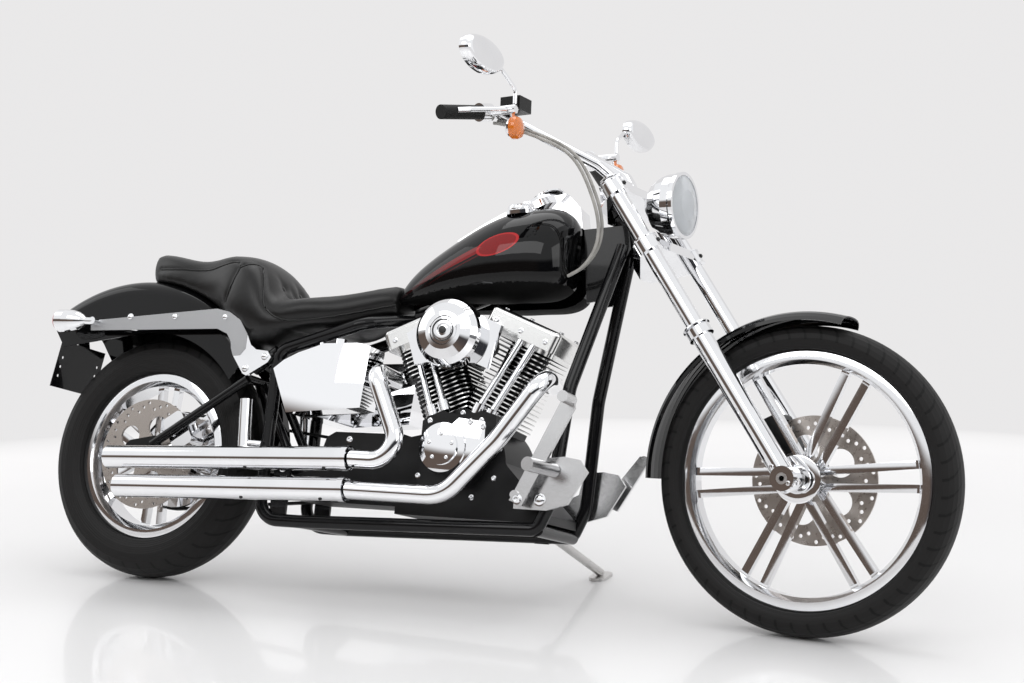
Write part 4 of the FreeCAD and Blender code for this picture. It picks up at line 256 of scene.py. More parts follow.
def paint(name, tint, rough, coat=0.35):
    """Clear-coated paint with slight orange peel."""
    n = Nodes(name)
    n.set(Roughness=rough, Base_Color=tint)
    n.set(Coat_Weight=coat, Coat_Roughness=0.03, Specular_IOR_Level=0.12)
    lighter = tuple(part + 0.001 for part in scaled(tint, 1.4))
    n.vary("Base Color", n.noise(scale=5, detail=4), tint, lighter, top=0.8)
    n.bump(n.noise(scale=420, detail=2), strength=0.02, distance=0.0002)
    return n.mat


def plastic(name, tint, rough, bump=0.05, scale=900, shine=0.25):
    """Plastic, rubber or leather: a dull colour with a fine grain."""
    n = Nodes(name)
    n.set(Roughness=rough, Base_Color=tint, Specular_IOR_Level=shine)
    n.vary("Base Color", n.noise(scale=30, detail=5), scaled(tint, 0.8), scaled(tint, 1.25))
    n.bump(n.noise(scale, detail=3), strength=bump, distance=0.0003)
    return n.mat


CHROME_TINT = (0.88, 0.885, 0.90)
DEEP_BLACK = (0.0022, 0.0022, 0.0025)
CORD_BLACK = (0.004, 0.004, 0.004)

CHROME = metal("chrome_polished", CHROME_TINT, 0.03, 0.03)
ALLOY = metal("alloy_polished", (0.83, 0.83, 0.82), 0.12, 0.08, 140, (1, 1, 6), 0.02)
FORGED = metal("alloy_forged", (0.64, 0.64, 0.645), 0.16, 0.12, 90, (1, 1, 3), 0.04)
SATIN = metal("alloy_satin", (0.46, 0.465, 0.475), 0.34, 0.08, 220, (6, 1, 1), 0.05)
STEEL = metal("steel_brushed", (0.62, 0.61, 0.60), 0.25, 0.16, 60, (1, 1, 9), 0.05)
DISC = metal("disc_steel", (0.50, 0.455, 0.42), 0.24, 0.14, 90, (1, 5, 1), 0.05)
DARK_STEEL = metal("steel_dark", (0.06, 0.06, 0.06), 0.38, 0.15, 160, (1, 1, 1), 0.05)
BLACK = paint("paint_black", DEEP_BLACK, 0.06)
FRAME_BLACK = paint("frame_black", (0.004, 0.004, 0.0045), 0.16, coat=0.3)
GLOSS_DARK = paint("dial_black", (0.003, 0.003, 0.003), 0.04)
SATIN_BLACK = plastic("satin_black", (0.008, 0.008, 0.0085), 0.42)
PLASTIC = plastic("plastic_black", (0.007, 0.007, 0.007), 0.30, bump=0.02)
RUBBER = plastic("rubber_black", (0.010, 0.010, 0.010), 0.60, bump=0.12, scale=700)
LEATHER = plastic("leather_black", (0.006, 0.0058, 0.0058), 0.36, bump=0.30, scale=420, shine=0.32)
CABLE = plastic("cable_grey", (0.36, 0.35, 0.33), 0.32, bump=0.2, scale=1400)
PIPING = plastic("piping_black", CORD_BLACK, 0.30, shine=0.4)
UNDER_BLACK = plastic("underside_black", CORD_BLACK, 0.6, shine=0.05)


# Tread of both tyres, in millimetres: how far it reaches down from the crown, how wide the plain
# middle is to each side, and how far down the rings of the side wall begin.
TREAD_REACH = 34
PLAIN_MIDDLE = 9
RINGS_BEGIN = 40
RING_TURN = 1.1
RING_SHARE = 0.12
GROOVE_SHARE = 0.085
TYRE_BLACK = (0.0095, 0.009, 0.009)
# Colour of the painted shade in the tread grooves; the rubber there is the same as elsewhere.
GROOVE_PAINTED_SHADE = (0.002, 0.002, 0.002)


def tyre(name, matrix, radius, grooves, slant):
    """Tyre rubber whose tread grooves and side rings follow the wheel's own axis; the grooves also get painted
    shade, a darker colour.
    """
    n = Nodes(name)
    n.set(Roughness=0.55, Base_Color=(0.009, 0.009, 0.009), Specular_IOR_Level=0.22)
    x, y, z = n.local(matrix)
    reach = n.length(x, z)
    side = n.math("ABSOLUTE", y)
    count = n.plus(n.times(n.turns(x, z), grooves), n.times(side, slant))
    away = n.math("ABSOLUTE", n.minus(n.math("FRACT", count), 0.5))
    groove = n.math("LESS_THAN", away, GROOVE_SHARE)
    crown = n.math("GREATER_THAN", reach, radius - TREAD_REACH)
    outside = n.math("GREATER_THAN", side, PLAIN_MIDDLE)
    cuts = n.times(n.times(groove, crown), outside)
    wall = n.math("LESS_THAN", reach, radius - RINGS_BEGIN)
    rings = n.times(n.math("SINE", n.times(reach, RING_TURN)), wall)
    height = n.minus(n.times(rings, RING_SHARE), cuts)
    # Painted shade: the grooves, which the bump below cuts, get a darker colour than the rest of the tread.
    n.link(n.mix(cuts, TYRE_BLACK, GROOVE_PAINTED_SHADE), n.shader.inputs["Base Color"])
    n.bump(n.noise(scale=500, detail=3), strength=0.15, distance=0.0003)
    n.bump(height, strength=0.7, distance=0.002)
    return n.mat


# Spokes of both wheels, which stand in pairs, and the rim's lip, in millimetres.
SPOKE_PAIRS = 6
SPOKE_OFFSET = 18
SPOKE_HALF = 14
RIM_LIP = 14


def wheel_metal(name, matrix, rim):
    """Polished metal whose spokes and rim read as crowned, by the wheel's own axis."""
    n = Nodes(name)
    n.set(Metallic=1.0, Roughness=0.10, Base_Color=(0.80, 0.805, 0.82))
    x, _, z = n.local(matrix)
    reach = n.length(x, z)
    count = n.times(n.turns(x, z), SPOKE_PAIRS)
    share = n.minus(n.math("FRACT", count), 0.5)
    angle = n.times(share, 2 * math.pi / SPOKE_PAIRS)
    across = n.math("ABSOLUTE", n.times(reach, n.math("SINE", angle)))
    away = n.math("DIVIDE", n.minus(across, SPOKE_OFFSET), SPOKE_HALF)
    crown = n.minus(1, n.times(away, away))
    edge = n.math("DIVIDE", n.minus(reach, rim), RIM_LIP)
    roll = n.minus(1, n.times(edge, edge))
    on_rim = n.math("GREATER_THAN", reach, rim - RIM_LIP)
    on_spoke = n.minus(1, on_rim)
    height = n.plus(n.times(roll, on_rim), n.times(crown, on_spoke))
    n.vary("Roughness", n.noise(scale=60, detail=4), 0.07, 0.13)
    n.bump(height, strength=1.0, distance=0.0014)
    return n.mat


def domed(name, tint, middle, spans, rise):
    """Chrome that mirrors like a panel bulged around a middle, along the axes that have a span."""
    rough = 0.03
    n = Nodes(name)
    n.set(Metallic=1.0, Roughness=rough, Base_Color=tint)
    height = 0
    for place, centre, reach in zip(n.local(CHASSIS), middle, spans):
        if reach:
            away = n.math("DIVIDE", n.minus(place, centre), reach)
            height = n.minus(height, n.times(away, away))
    n.vary("Roughness", n.noise(scale=40, detail=3), rough * 0.8, rough * 1.3)
    n.bump(height, strength=1.0, distance=rise)
    return n.mat


def lens(name, tint):
    """Ribbed, tinted lamp lens."""
    n = Nodes(name)
    n.set(Roughness=0.08, Base_Color=tint, Coat_Weight=1.0, Transmission_Weight=0.25, IOR=1.45)
    n.vary("Base Color", n.noise(scale=80, detail=3), scaled(tint, 0.8), tint, top=0.8)
    n.bump(n.noise(scale=160, detail=2, stretch=(1, 4, 1)), strength=0.1, distance=0.0005)
    return n.mat


def clear_glass():
    """Clear headlamp glass with faint ribs."""
    n = Nodes("glass_clear")
    n.set(Roughness=0.03, Base_Color=(0.90, 0.93, 0.96), Transmission_Weight=0.55, IOR=1.3)
    n.bump(n.noise(scale=40, detail=2, stretch=(0.3, 6, 0.3)), strength=0.04, distance=0.0005)
    return n.mat


# Red marks on the tank, in the chassis frame: a place on the stripe's middle line, its slope and
# its front end, then the oval's middle, tilt and half sizes.
TANK_RED = (0.42, 0.018, 0.02)
STRIPE_X = 765
STRIPE_Z = 772
STRIPE_SLOPE = 0.405
STRIPE_END = 952
STRIPE_SHADE = 0.45
PINSTRIPE_SHADE = 0.4
OVAL_X = 998
OVAL_Z = 857
OVAL_TILT = math.radians(17.5)
OVAL_HALF_LENGTH = 58
OVAL_HALF_HEIGHT = 26
OVAL_SHADE = 0.5
OVAL_RIM = 0.76


def tank_line(n, x, z, rise, low, high, thin, thick):
    """Mask of one line along the stripe, which widens and brightens between two places."""
    share = n.span(x, low, high)
    climb = n.times(n.minus(x, STRIPE_X), STRIPE_SLOPE)
    line = n.plus(climb, STRIPE_Z + rise)
    half = n.plus(n.times(share, thick - thin), thin)
    inside = n.math("LESS_THAN", n.math("ABSOLUTE", n.minus(z, line)), half)
    here = n.times(inside, n.math("LESS_THAN", x, STRIPE_END))
    return n.times(here, share)


def tank_oval(n, x, z):
    """Mask of a plain tilted oval with a bright rim."""
    cosine = math.cos(OVAL_TILT)
    sine = math.sin(OVAL_TILT)
    across = n.minus(x, OVAL_X)
    over = n.minus(z, OVAL_Z)
    along = n.plus(n.times(across, cosine), n.times(over, sine))
    upward = n.minus(n.times(over, cosine), n.times(across, sine))
    radial = n.squares(n.math("DIVIDE", along, OVAL_HALF_LENGTH), n.math("DIVIDE", upward, OVAL_HALF_HEIGHT))
    inside = n.math("LESS_THAN", radial, 1)
    rim = n.times(n.math("GREATER_THAN", radial, OVAL_RIM), inside)
    return n.math("MAXIMUM", n.times(inside, OVAL_SHADE), rim)


def tank_paint():
    """Black paint with a red stripe that widens towards the front and ends in a plain oval."""
    n = Nodes("tank_paint")
    n.set(Roughness=0.05, Coat_Weight=0.35, Coat_Roughness=0.02, Specular_IOR_Level=0.12)
    x, _, z = n.local(CHASSIS)
    broad = tank_line(n, x, z, rise=0, low=690, high=930, thin=3, thick=10)
    narrow = tank_line(n, x, z, rise=-17, low=760, high=960, thin=1, thick=2)
    both = n.math("MAXIMUM", broad, n.times(narrow, PINSTRIPE_SHADE))
    stripe = n.times(both, STRIPE_SHADE)
    fill = n.math("MAXIMUM", stripe, tank_oval(n, x, z))
    n.link(n.mix(fill, DEEP_BLACK, TANK_RED), n.shader.inputs["Base Color"])
    n.bump(n.noise(scale=420, detail=2), strength=0.015, distance=0.0002)
    return n.mat


FRONT_TYRE = tyre("tyre_front", FRONT_WHEEL, FRONT_RADIUS, grooves=54, slant=0.028)
REAR_TYRE = tyre("tyre_rear", REAR_WHEEL, REAR_RADIUS, grooves=40, slant=0.020)
FRONT_METAL = wheel_metal("wheel_chrome_front", FRONT_WHEEL, rim=263)
REAR_METAL = wheel_metal("wheel_chrome_rear", REAR_WHEEL, rim=196)
OIL_TANK = domed("oil_tank_chrome", (0.92, 0.925, 0.94), (590, 0, 460), (95, 0, 80), 0.006)
COVER = domed("cover_chrome", CHROME_TINT, (909, 0, 362), (45, 0, 45), 0.004)
RED = lens("lens_red", (0.62, 0.012, 0.015))
AMBER = lens("lens_amber", (0.95, 0.24, 0.015))
GLASS = clear_glass()
TANK_PAINT = tank_paint()

# Finish of each material slot of the record, then of the nodes that have one of their own.
SURFACE = {
    "chrome": CHROME,
    "mirror_chrome": CHROME,
    "polished_alloy": ALLOY,
    "steel": STEEL,
    "black_paint": BLACK,
    "black_frame": FRAME_BLACK,
    "black_engine": SATIN_BLACK,
    "leather": LEATHER,
    "rubber": RUBBER,
    "belt": RUBBER,
    "tyre": REAR_TYRE,
    "red_lens": RED,
    "amber_lens": AMBER,
    "lamp_glass": GLASS,
}
OWN_SURFACE = {
    "front_tyre": FRONT_TYRE,
    "front_rim": FRONT_METAL,
    "rear_rim": REAR_METAL,
    "front_disc": DISC,
    "rear_disc": DISC,
    "oil_tank": OIL_TANK,
    "cam_cover": COVER,
    "crankcase": SATIN_BLACK,
    "gearbox": SATIN_BLACK,
    "foot_control_right": FORGED,
    "foot_control_left": FORGED,
    "mirror_right": CHROME,
    "fuel_tank": TANK_PAINT,
}


def dress_faces(node, material, matrix, chosen):
    """Gives a second material to the faces that a test picks by centre and normal in a local frame."""
    mesh = NODES[node].data
    back = matrix.inverted()
    mesh.materials.append(material)
    number = len(mesh.materials) - 1
    for face in mesh.polygons:
        normal = (back.to_3x3() @ face.normal).normalized()
        if chosen(back @ face.center, normal):
            face.material_index = number


# Half sizes of the fins, which are smaller below a height, how far from the middle of a corner's
# rounding a face has to be to lie on the rim, and how steep it may look up or down.
LOW_FIN_HALF = 74
HIGH_FIN_HALF = 84
LOW_FINS_END = 257
FIN_ROUNDING = 30
FIN_RIM = 28.5
FIN_STEEPEST = 0.3


def fin_edge(centre, normal):
    """Faces on the rounded-square rim of a fin, which are machined bright."""
    if abs(normal.z) > FIN_STEEPEST:
        return False
    straight = (LOW_FIN_HALF if centre.z < LOW_FINS_END else HIGH_FIN_HALF) - FIN_ROUNDING
    gap = Vector((max(abs(centre.x) - straight, 0), max(abs(centre.y) - straight, 0)))
    return gap.length > FIN_RIM


# Middle of the brake fluid reservoir, how far its corners reach, how far a face may be off its
# side, and its axes with its half sizes.
RESERVOIR = Vector((1042, -217, 1181))
RESERVOIR_REACH = 46
RESERVOIR_SLACK = 3
RESERVOIR_SIDES = (
    (Vector((0.987, -0.16, -0.01)), 27),
    (Vector((-0.16, -0.982, -0.1)), 27),
    (Vector((-0.01, -0.1, 0.995)), 17),
)


def reservoir_face(centre, normal):
    """Faces of the square brake fluid reservoir on the right control."""
    away = centre - RESERVOIR
    if away.length >= RESERVOIR_REACH:
        return False
    for axis, half in RESERVOIR_SIDES:
        if abs(normal.dot(axis)) > 0.97 and abs(abs(away.dot(axis)) - half) < RESERVOIR_SLACK:
            return True
    return False


# Places along the chassis where the lamps' bowls end, and the height above which the dial stands.
REAR_BOWL_END = -281.5
RIGHT_SIGNAL_BOWL_END = 1052
LEFT_SIGNAL_BOWL_END = 1133
DIAL_FOOT = 1040


def rear_lens_face(centre, normal):
    """Faces of the rear lamps behind the edge of their bowls."""
    return centre.x < REAR_BOWL_END


def signal_bowl_face(centre, normal):
    """Faces of the front turn lamps behind their lenses, on the right and on the left."""
    return centre.x < (RIGHT_SIGNAL_BOWL_END if centre.y < 0 else LEFT_SIGNAL_BOWL_END)


def tank_underside(centre, normal):
    """Faces that look down under the tank."""
    return normal.z < -0.55


def dial_face(centre, normal):
    """Flat face of the dial, which leans back towards the rider."""
    return normal.z > 0.86 and normal.x < -0.45 and centre.z > DIAL_FOOT


def dress_all():
    """Gives every CAD node its finish."""
    slot_of = {entry["node"]: entry["material_slot"] for entry in frame["record"]["subparts"]}
    for node in NODES:
        mesh = NODES[node].data
        mesh.materials.clear()
        mesh.materials.append(OWN_SURFACE.get(node, SURFACE[slot_of[node]]))
    for way, end in CYLINDERS:
        dress_faces(end + "_cylinder", ALLOY, cylinder_matrix(way), fin_edge)
    for _, label in SIDES:
        dress_faces("rear_lamp_" + label, RED, CHASSIS, rear_lens_face)
    dress_faces("hand_control_right", PLASTIC, CHASSIS, reservoir_face)
    dress_faces("front_signals", CHROME, CHASSIS, signal_bowl_face)
    dress_faces("fuel_tank", UNDER_BLACK, CHASSIS, tank_underside)
    dress_faces("tank_console", GLOSS_DARK, CHASSIS, dial_face)


dress_all()


def linked(name, data):
    """New object in the scene."""
    made = bpy.data.objects.new(name, data)
    bpy.context.scene.collection.objects.link(made)
    return made


def mesh_from(shape, name):
    """Named mesh made from a bmesh, which is freed."""
    mesh = bpy.data.meshes.new(name)
    shape.to_mesh(mesh)
    shape.free()
    return mesh


def smooth(mesh):
    for face in mesh.polygons:
        face.use_smooth = True


def place_piece(name, mesh, body, material, sharp=35):
    """Links a finished mesh, shades it and lets it ride on a body."""
    mesh.materials.append(material)
    smooth(mesh)
    mesh.set_sharp_from_angle(angle=math.radians(sharp))
    made = linked(name, mesh)
    if body:
        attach(made, body)
    return made


def circle(centre, axis, radius, sides):
    """Points of a circle around an axis, in metres."""
    across = axis.orthogonal().normalized()
    over = axis.cross(across)
    angles = [2 * math.pi * step / sides for step in range(sides)]
    return [centre + (across * math.cos(a) + over * math.sin(a)) * radius for a in angles]


class Kit:
    """Turned pieces, such as screws, caps and bands, gathered into one mesh on one body."""

    def __init__(self, name, body, material):
        self.name = name
        self.body = body
        self.material = material
        self.mesh = bmesh.new()

    def turn(self, place, axis, profile, sides=24):
        """Adds a solid of revolution; the profile is (radius, height) in millimetres along the axis."""
        rings = []
        for radius, height in profile:
            centre = place + axis * height / 1000
            spots = circle(centre, axis, radius / 1000, sides) if radius else [centre]
            rings.append([self.mesh.verts.new(spot) for spot in spots])
        for low, high in zip(rings, rings[1:]):
            for step in range(sides):
                after = (step + 1) % sides
                corners = [low[step % len(low)], low[after % len(low)]]
                corners += [high[after % len(high)], high[step % len(high)]]
                corners = list(dict.fromkeys(corners))
                if len(corners) > 2:
                    self.mesh.faces.new(corners)

    def finish(self):
        bmesh.ops.recalc_face_normals(self.mesh, faces=self.mesh.faces)
        place_piece(self.name, mesh_from(self.mesh, self.name), self.body, self.material)


def search_tree(mesh):
    """Tree that finds the places where a line meets a mesh."""
    return BVHTree.FromPolygons([v.co for v in mesh.vertices], [tuple(p.vertices) for p in mesh.polygons])


# Search trees of the CAD nodes, each made when it is first needed.
trees = {}


def touch(nodes, matrix, start, towards):
    """First point and normal of some nodes that a line from a local point meets, in the row frame."""
    origin = matrix @ Vector(start)
    aim = row_axis(matrix, towards)
    best = None
    for node in nodes:
        if node not in trees:
            trees[node] = search_tree(NODES[node].data)
        hit, normal, _, far = trees[node].ray_cast(origin, aim)
        if hit is not None and (best is None or far < best[2]):
            best = (hit, normal if normal.dot(aim) < 0 else -normal, far)
    return best


def screw(radius, height=None):
    """Profile of a socket cap screw on a thin washer."""
    height = height or radius * 0.9
    washer = radius * 1.35
    return [(washer, -1.5), (washer, 0.6), (radius, 0.8), (radius, height * 0.8), (radius * 0.86, height),
            (radius * 0.56, height), (radius * 0.50, height * 0.55), (0, height * 0.5)]


def dome(radius, height):
    """Profile of a domed cap nut on a thin washer."""
    washer = radius * 1.25
    return [(washer, -1.5), (washer, 0.8), (radius, 1.0), (radius * 0.97, height * 0.5),
            (radius * 0.75, height * 0.85), (radius * 0.4, height * 0.98), (0, height)]


# Distance from which the places of screws are looked for, beyond every solid.
OUTSIDE = 700


def screws(kit, nodes, matrix, side, spots, profile):
    """Screws on the surface that faces a side, at (x, z) spots of a local frame."""
    for x, z in spots:
        found = touch(nodes, matrix, (x, side * OUTSIDE, z), (0, -side, 0))
        if found:
            kit.turn(found[0], row_axis(matrix, (0, side, 0)), profile)


def ring_spots(x, z, radius, count, start=0):
    """Spots spread evenly on a circle, from an angle in degrees."""
    angles = [math.radians(start + 360 * step / count) for step in range(count)]
    return [(x + radius * math.cos(a), z + radius * math.sin(a)) for a in angles]


# Spots of the screws as (x, z) in the chassis frame; those of the rocker covers are in the frame
# of their cylinder, the ones on top as (x, y). Spots on the fork and wheels are in their frames.
STRUT_SPOTS = ((-60, 678), (84, 679), (242, 679), (376, 577), (322, 545))
PIVOT_SPOT = ((452, 300),)
REAR_AXLE_SPOT = ((0, REAR_RADIUS),)
PEDAL_SPOTS = ((1122, 305), (1118, 249), (1301, 312))
PEDAL_PIVOT = ((1161, 253),)
SHIFTER_SPOTS = ((1120, 250), (1240, 322))
CAM_RING = ring_spots(909, 362, 31, 5, 90)
CAM_SPOTS = ((975, 425), (1008, 415), (1000, 352))
CRANKCASE_RING = ring_spots(930, 350, 104, 9, 12)
PRIMARY_RINGS = ring_spots(672, 318, 82, 7, 60) + ring_spots(925, 318, 64, 5, -120)
CLUTCH_RING = ring_spots(672, 318, 58, 5, 90)
GEARBOX_SPOTS = ((560, 250), (700, 250), (620, 380), (740, 380))
REAR_CALIPER_SPOTS = ((100, 372), (122, 398))
ROCKER_SIDE_SPOTS = ((-70, 352), (0, 352), (70, 352))
ROCKER_TOP_SPOTS = ((-80, -60), (0, -70), (80, -60), (-80, 45), (0, 52), (80, 45))
FRONT_HUB_RING = ring_spots(0, 0, 41, 6, 15)
REAR_HUB_RING = ring_spots(0, 0, 34, 5, 15)
FORK_LEG_SPOTS = ((48, 34), (62, -16))
FRONT_CALIPER_SPOTS = ((40, 130), (40, 190))

# Places of the larger turned pieces in the chassis frame, some of them a way off the surface.
BADGE_BESIDE = (908, -600, 632)
FUEL_CAP_ABOVE = Vector((1022, 0, 1300))
FUEL_CAP_SIDE = 78
DIAL_MIDDLE = Vector((1062, 0, 1000))
DIAL_INWARD = Vector((0.469, 0, -0.883))
OIL_CAP_ABOVE = (605, -183, 900)
REAR_LENS = Vector((-283, 0, 664))
REAR_LENS_SIDE = 152
MUFFLERS = (("front_exhaust", 245), ("rear_exhaust", 318))
MUFFLER_SIDE = -215
MUFFLER_FALL = 0.035
BAND_X = 692
MUFFLER_SCREWS_X = (640, 420)
MUFFLER_SCREWS_BELOW = 24

# Profiles of the larger turned pieces, as (radius, height) in millimetres.
BADGE_RING = [(27, -3), (27, 0.6), (25.4, 0.6), (25.4, -3)]
BADGE_HUB = [(9, -3), (9, 1.6), (7, 2.2), (0, 2.2)]
BADGE_PLATE = [(22.5, -3), (22.5, 0.7), (20, 1.1), (14, 1.1), (14, -3)]
FUEL_CAP = [(38, -6), (38, 3), (35, 5), (33, 5), (33, 12), (30, 17), (20, 20), (0, 21)]
DIAL_BEZEL = [(47, -2), (47, 2), (44, 3), (42, 1.2), (42, -2)]
DIAL_GLASS = [(42, -2), (42, 0.8), (0, 1.0)]
MUFFLER_BAND = [(28.4, -7), (30.2, -7), (30.2, 9), (28.4, 9)]
OIL_CAP = [(14, -2), (16.5, -2), (16.5, 5), (14, 8), (9, 9), (0, 9)]
LENS_BULGE = [(28, -3), (28, 1), (26, 6), (20, 11), (10, 13.5), (0, 14)]
HUB_CAP = [(53, -2), (53, 1), (50, 2), (32, 2), (30, 6), (24, 14), (22, 18), (15, 18), (15, 0)]
CLAMP_COLLAR = [(24.6, -1), (31, -1), (31, 2.5), (24.6, 4)]
LEG_COLLAR = [(24.6, -0.5), (33, -0.5), (31.5, 3), (24.6, 4.5)]
TUBE_NUT = [(24, -1), (24, 2), (20, 5), (14, 5), (14, 9), (0, 9)]
STEM_NUT = [(22, -1), (22, 8), (19, 12), (0, 13)]
BULB = [(7, -38), (7, -6), (5, 0), (0, 2)]


def frame_screws(kit):
    """Nuts and screws of the struts, the swingarm, the foot controls and the engine's covers."""
    for side, label in SIDES:
        screws(kit, ["fender_strut_" + label], CHASSIS, side, STRUT_SPOTS, dome(8, 6))
        screws(kit, ["swingarm"], CHASSIS, side, PIVOT_SPOT, dome(15, 10))
        screws(kit, ["swingarm", "rear_axle"], CHASSIS, side, REAR_AXLE_SPOT, dome(17, 12))
    for node, side, spots, profile in (
            ("foot_control_right", RIGHT, PEDAL_SPOTS, screw(9)),
            ("foot_control_right", RIGHT, PEDAL_PIVOT, dome(12, 6)),
            ("foot_control_left", LEFT, SHIFTER_SPOTS, screw(8)),
            ("cam_cover", RIGHT, CAM_RING, screw(3.6, 3)),
            ("cam_cover", RIGHT, CAM_SPOTS, screw(5.5)),
            ("crankcase", RIGHT, CRANKCASE_RING, screw(5)),
            ("primary_cover", LEFT, PRIMARY_RINGS, screw(4.5)),
            ("primary_cover", LEFT, CLUTCH_RING, screw(3.6, 3)),
            ("gearbox", RIGHT, GEARBOX_SPOTS, screw(6)),
            ("rear_caliper", RIGHT, REAR_CALIPER_SPOTS, screw(6))):
        screws(kit, [node], CHASSIS, side, spots, profile)


def rocker_screws(kit):
    """Screws on the sides and tops of the rocker covers."""
    for way, end in CYLINDERS:
        matrix = cylinder_matrix(way)
        nodes = [end + "_rocker_cover"]
        for side, _ in SIDES:
            screws(kit, nodes, matrix, side, ROCKER_SIDE_SPOTS, screw(5))
        for x, y in ROCKER_TOP_SPOTS:
            found = touch(nodes, matrix, (x, y, OUTSIDE), (0, 0, -1))
            if found:
                kit.turn(found[0], row_axis(matrix, (0, 0, 1)), screw(6))


def air_cleaner_badge(bright, dark):
    """Plain round plate in the middle of the air cleaner's cover."""
    spot = touch(["air_cleaner"], CHASSIS, BADGE_BESIDE, (0, 1, 0))[0]
    outward = row_axis(CHASSIS, (0, -1, 0))
    dark.turn(spot, outward, BADGE_RING, 48)
    dark.turn(spot, outward, BADGE_HUB, 36)
    bright.turn(spot, outward, BADGE_PLATE, 48)


def fuel_caps(kit):
    """Two filler caps, one to each side of the tank's console, leaning with the tank."""
    up = row_axis(CHASSIS, (0, 0, 1))
    for side, _ in SIDES:
        above = FUEL_CAP_ABOVE + Vector((0, side * FUEL_CAP_SIDE, 0))
        spot, normal, _ = touch(["fuel_tank", "tank_console"], CHASSIS, above, (0, 0, -1))
        kit.turn(spot, (normal + up).normalized(), FUEL_CAP, 40)


def dial(bright, dark):
    """Bezel and face of the dial on the tank's console."""
    start = DIAL_MIDDLE - DIAL_INWARD * 300
    spot = touch(["tank_console"], CHASSIS, start, DIAL_INWARD)[0]
    outward = row_axis(CHASSIS, -DIAL_INWARD)
    bright.turn(spot, outward, DIAL_BEZEL, 48)
    dark.turn(spot, outward, DIAL_GLASS, 48)


def muffler_bands(bright, dark):
    """Clamp band at the front of each muffler and two screws along it."""
    for node, height in MUFFLERS:
        centre = CHASSIS @ Vector((BAND_X, MUFFLER_SIDE, height))
        bright.turn(centre, row_axis(CHASSIS, (-1, 0, -MUFFLER_FALL)), MUFFLER_BAND, 64)
        for x in MUFFLER_SCREWS_X:
            z = height - MUFFLER_SCREWS_BELOW - (BAND_X - x) * MUFFLER_FALL
            screws(dark, [node], CHASSIS, RIGHT, ((x, z),), screw(3.5, 2.5))


def oil_cap(kit):
    """Twelve-sided filler cap on the oil tank."""
    found = touch(["oil_tank"], CHASSIS, OIL_CAP_ABOVE, (0, 0, -1))
    if found:
        kit.turn(found[0], row_axis(CHASSIS, (0, 0, 1)), OIL_CAP, 12)


def rear_lenses():
    """Bulged lenses on the two rear turn lamps."""
    lenses = Kit("rear_lamp_lenses", "chassis", RED)
    for side, _ in SIDES:
        centre = CHASSIS @ (REAR_LENS + Vector((0, side * REAR_LENS_SIDE, 0)))
        lenses.turn(centre, row_axis(CHASSIS, (-1, 0, 0)), LENS_BULGE, 40)
    lenses.finish()


def chassis_pieces():
    """Turned pieces on the chassis: screws, caps, bands, the dial's rim and the rear lenses."""
    bright = Kit("chassis_screws", "chassis", CHROME)
    dark = Kit("chassis_dark_parts", "chassis", DARK_STEEL)
    frame_screws(bright)
    rocker_screws(bright)
    air_cleaner_badge(bright, dark)
    fuel_caps(bright)
    dial(bright, dark)
    muffler_bands(bright, dark)
    oil_cap(bright)
    bright.finish()
    dark.finish()
    rear_lenses()


def wheel_pieces():
    """Screws of the brake discs and the pulley, and the front hub's cap."""
    front = Kit("front_screws", "front_wheel", CHROME)
    for side, _ in SIDES:
        screws(front, ["front_rim", "front_disc"], FRONT_WHEEL, side, FRONT_HUB_RING, screw(5.5))
    hub_face = FRONT_WHEEL @ Vector((0, -53, 0))
    front.turn(hub_face, row_axis(FRONT_WHEEL, (0, -1, 0)), HUB_CAP, 48)
    front.finish()
    rear = Kit("rear_screws", "rear_wheel", CHROME)
    screws(rear, ["rear_disc", "rear_rim"], REAR_WHEEL, RIGHT, REAR_HUB_RING, screw(5.5))
    screws(rear, ["rear_pulley"], REAR_WHEEL, LEFT, REAR_HUB_RING, screw(5.5))
    rear.finish()


# Places along the fork, in millimetres up its frame, and how far each tube is from the middle.
# The bulb's distance behind the middle of the lens is in metres.
TUBE_SIDE = 120
CLAMP_BASES = (608, 776)
CLAMP_HEIGHT = 34
LEG_TOP = 396
TUBE_TOP = 822
STEM_TOP = 810
BULB_BACK = 0.030


def fork_pieces():
    """Nuts, collars and screws of the fork, and the bulb behind the headlamp's glass."""
    fork = Kit("fork_screws", "steering", CHROME)
    fork_dark = Kit("fork_dark_parts", "steering", DARK_STEEL)
    up = row_axis(FORK, (0, 0, 1))
    for side, label in SIDES:
        leg = "fork_leg_" + label
        tube_y = side * TUBE_SIDE
        screws(fork, [leg, "front_axle"], FORK, side, ((FORK_LEAD, 0),), dome(13, 9))
        screws(fork, [leg], FORK, side, FORK_LEG_SPOTS, screw(4))
        for base in CLAMP_BASES:
            fork.turn(FORK @ Vector((FORK_LEAD, tube_y, base + CLAMP_HEIGHT)), up, CLAMP_COLLAR, 40)
            found = touch(["triple_clamps"], FORK, (400, tube_y, base + CLAMP_HEIGHT / 2), (-1, 0, 0))
            fork_dark.turn(found[0], row_axis(FORK, (1, 0, 0)), screw(4.5))
        fork.turn(FORK @ Vector((FORK_LEAD, tube_y, LEG_TOP)), up, LEG_COLLAR, 40)
        fork.turn(FORK @ Vector((FORK_LEAD, tube_y, TUBE_TOP)), up, TUBE_NUT, 6)
    fork.turn(FORK @ Vector((0, 0, STEM_TOP)), up, STEM_NUT, 6)
    screws(fork, ["front_caliper"], FORK, LEFT, FRONT_CALIPER_SPOTS, screw(6))
    level_ahead = row_axis(FORK, (math.cos(RAKE), 0, -math.sin(RAKE)))
    low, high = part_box("headlamp_lens")
    lamp = (low + high) / 2
    fork_dark.turn(lamp - level_ahead * BULB_BACK, level_ahead, BULB, 20)
    fork.finish()
    fork_dark.finish()


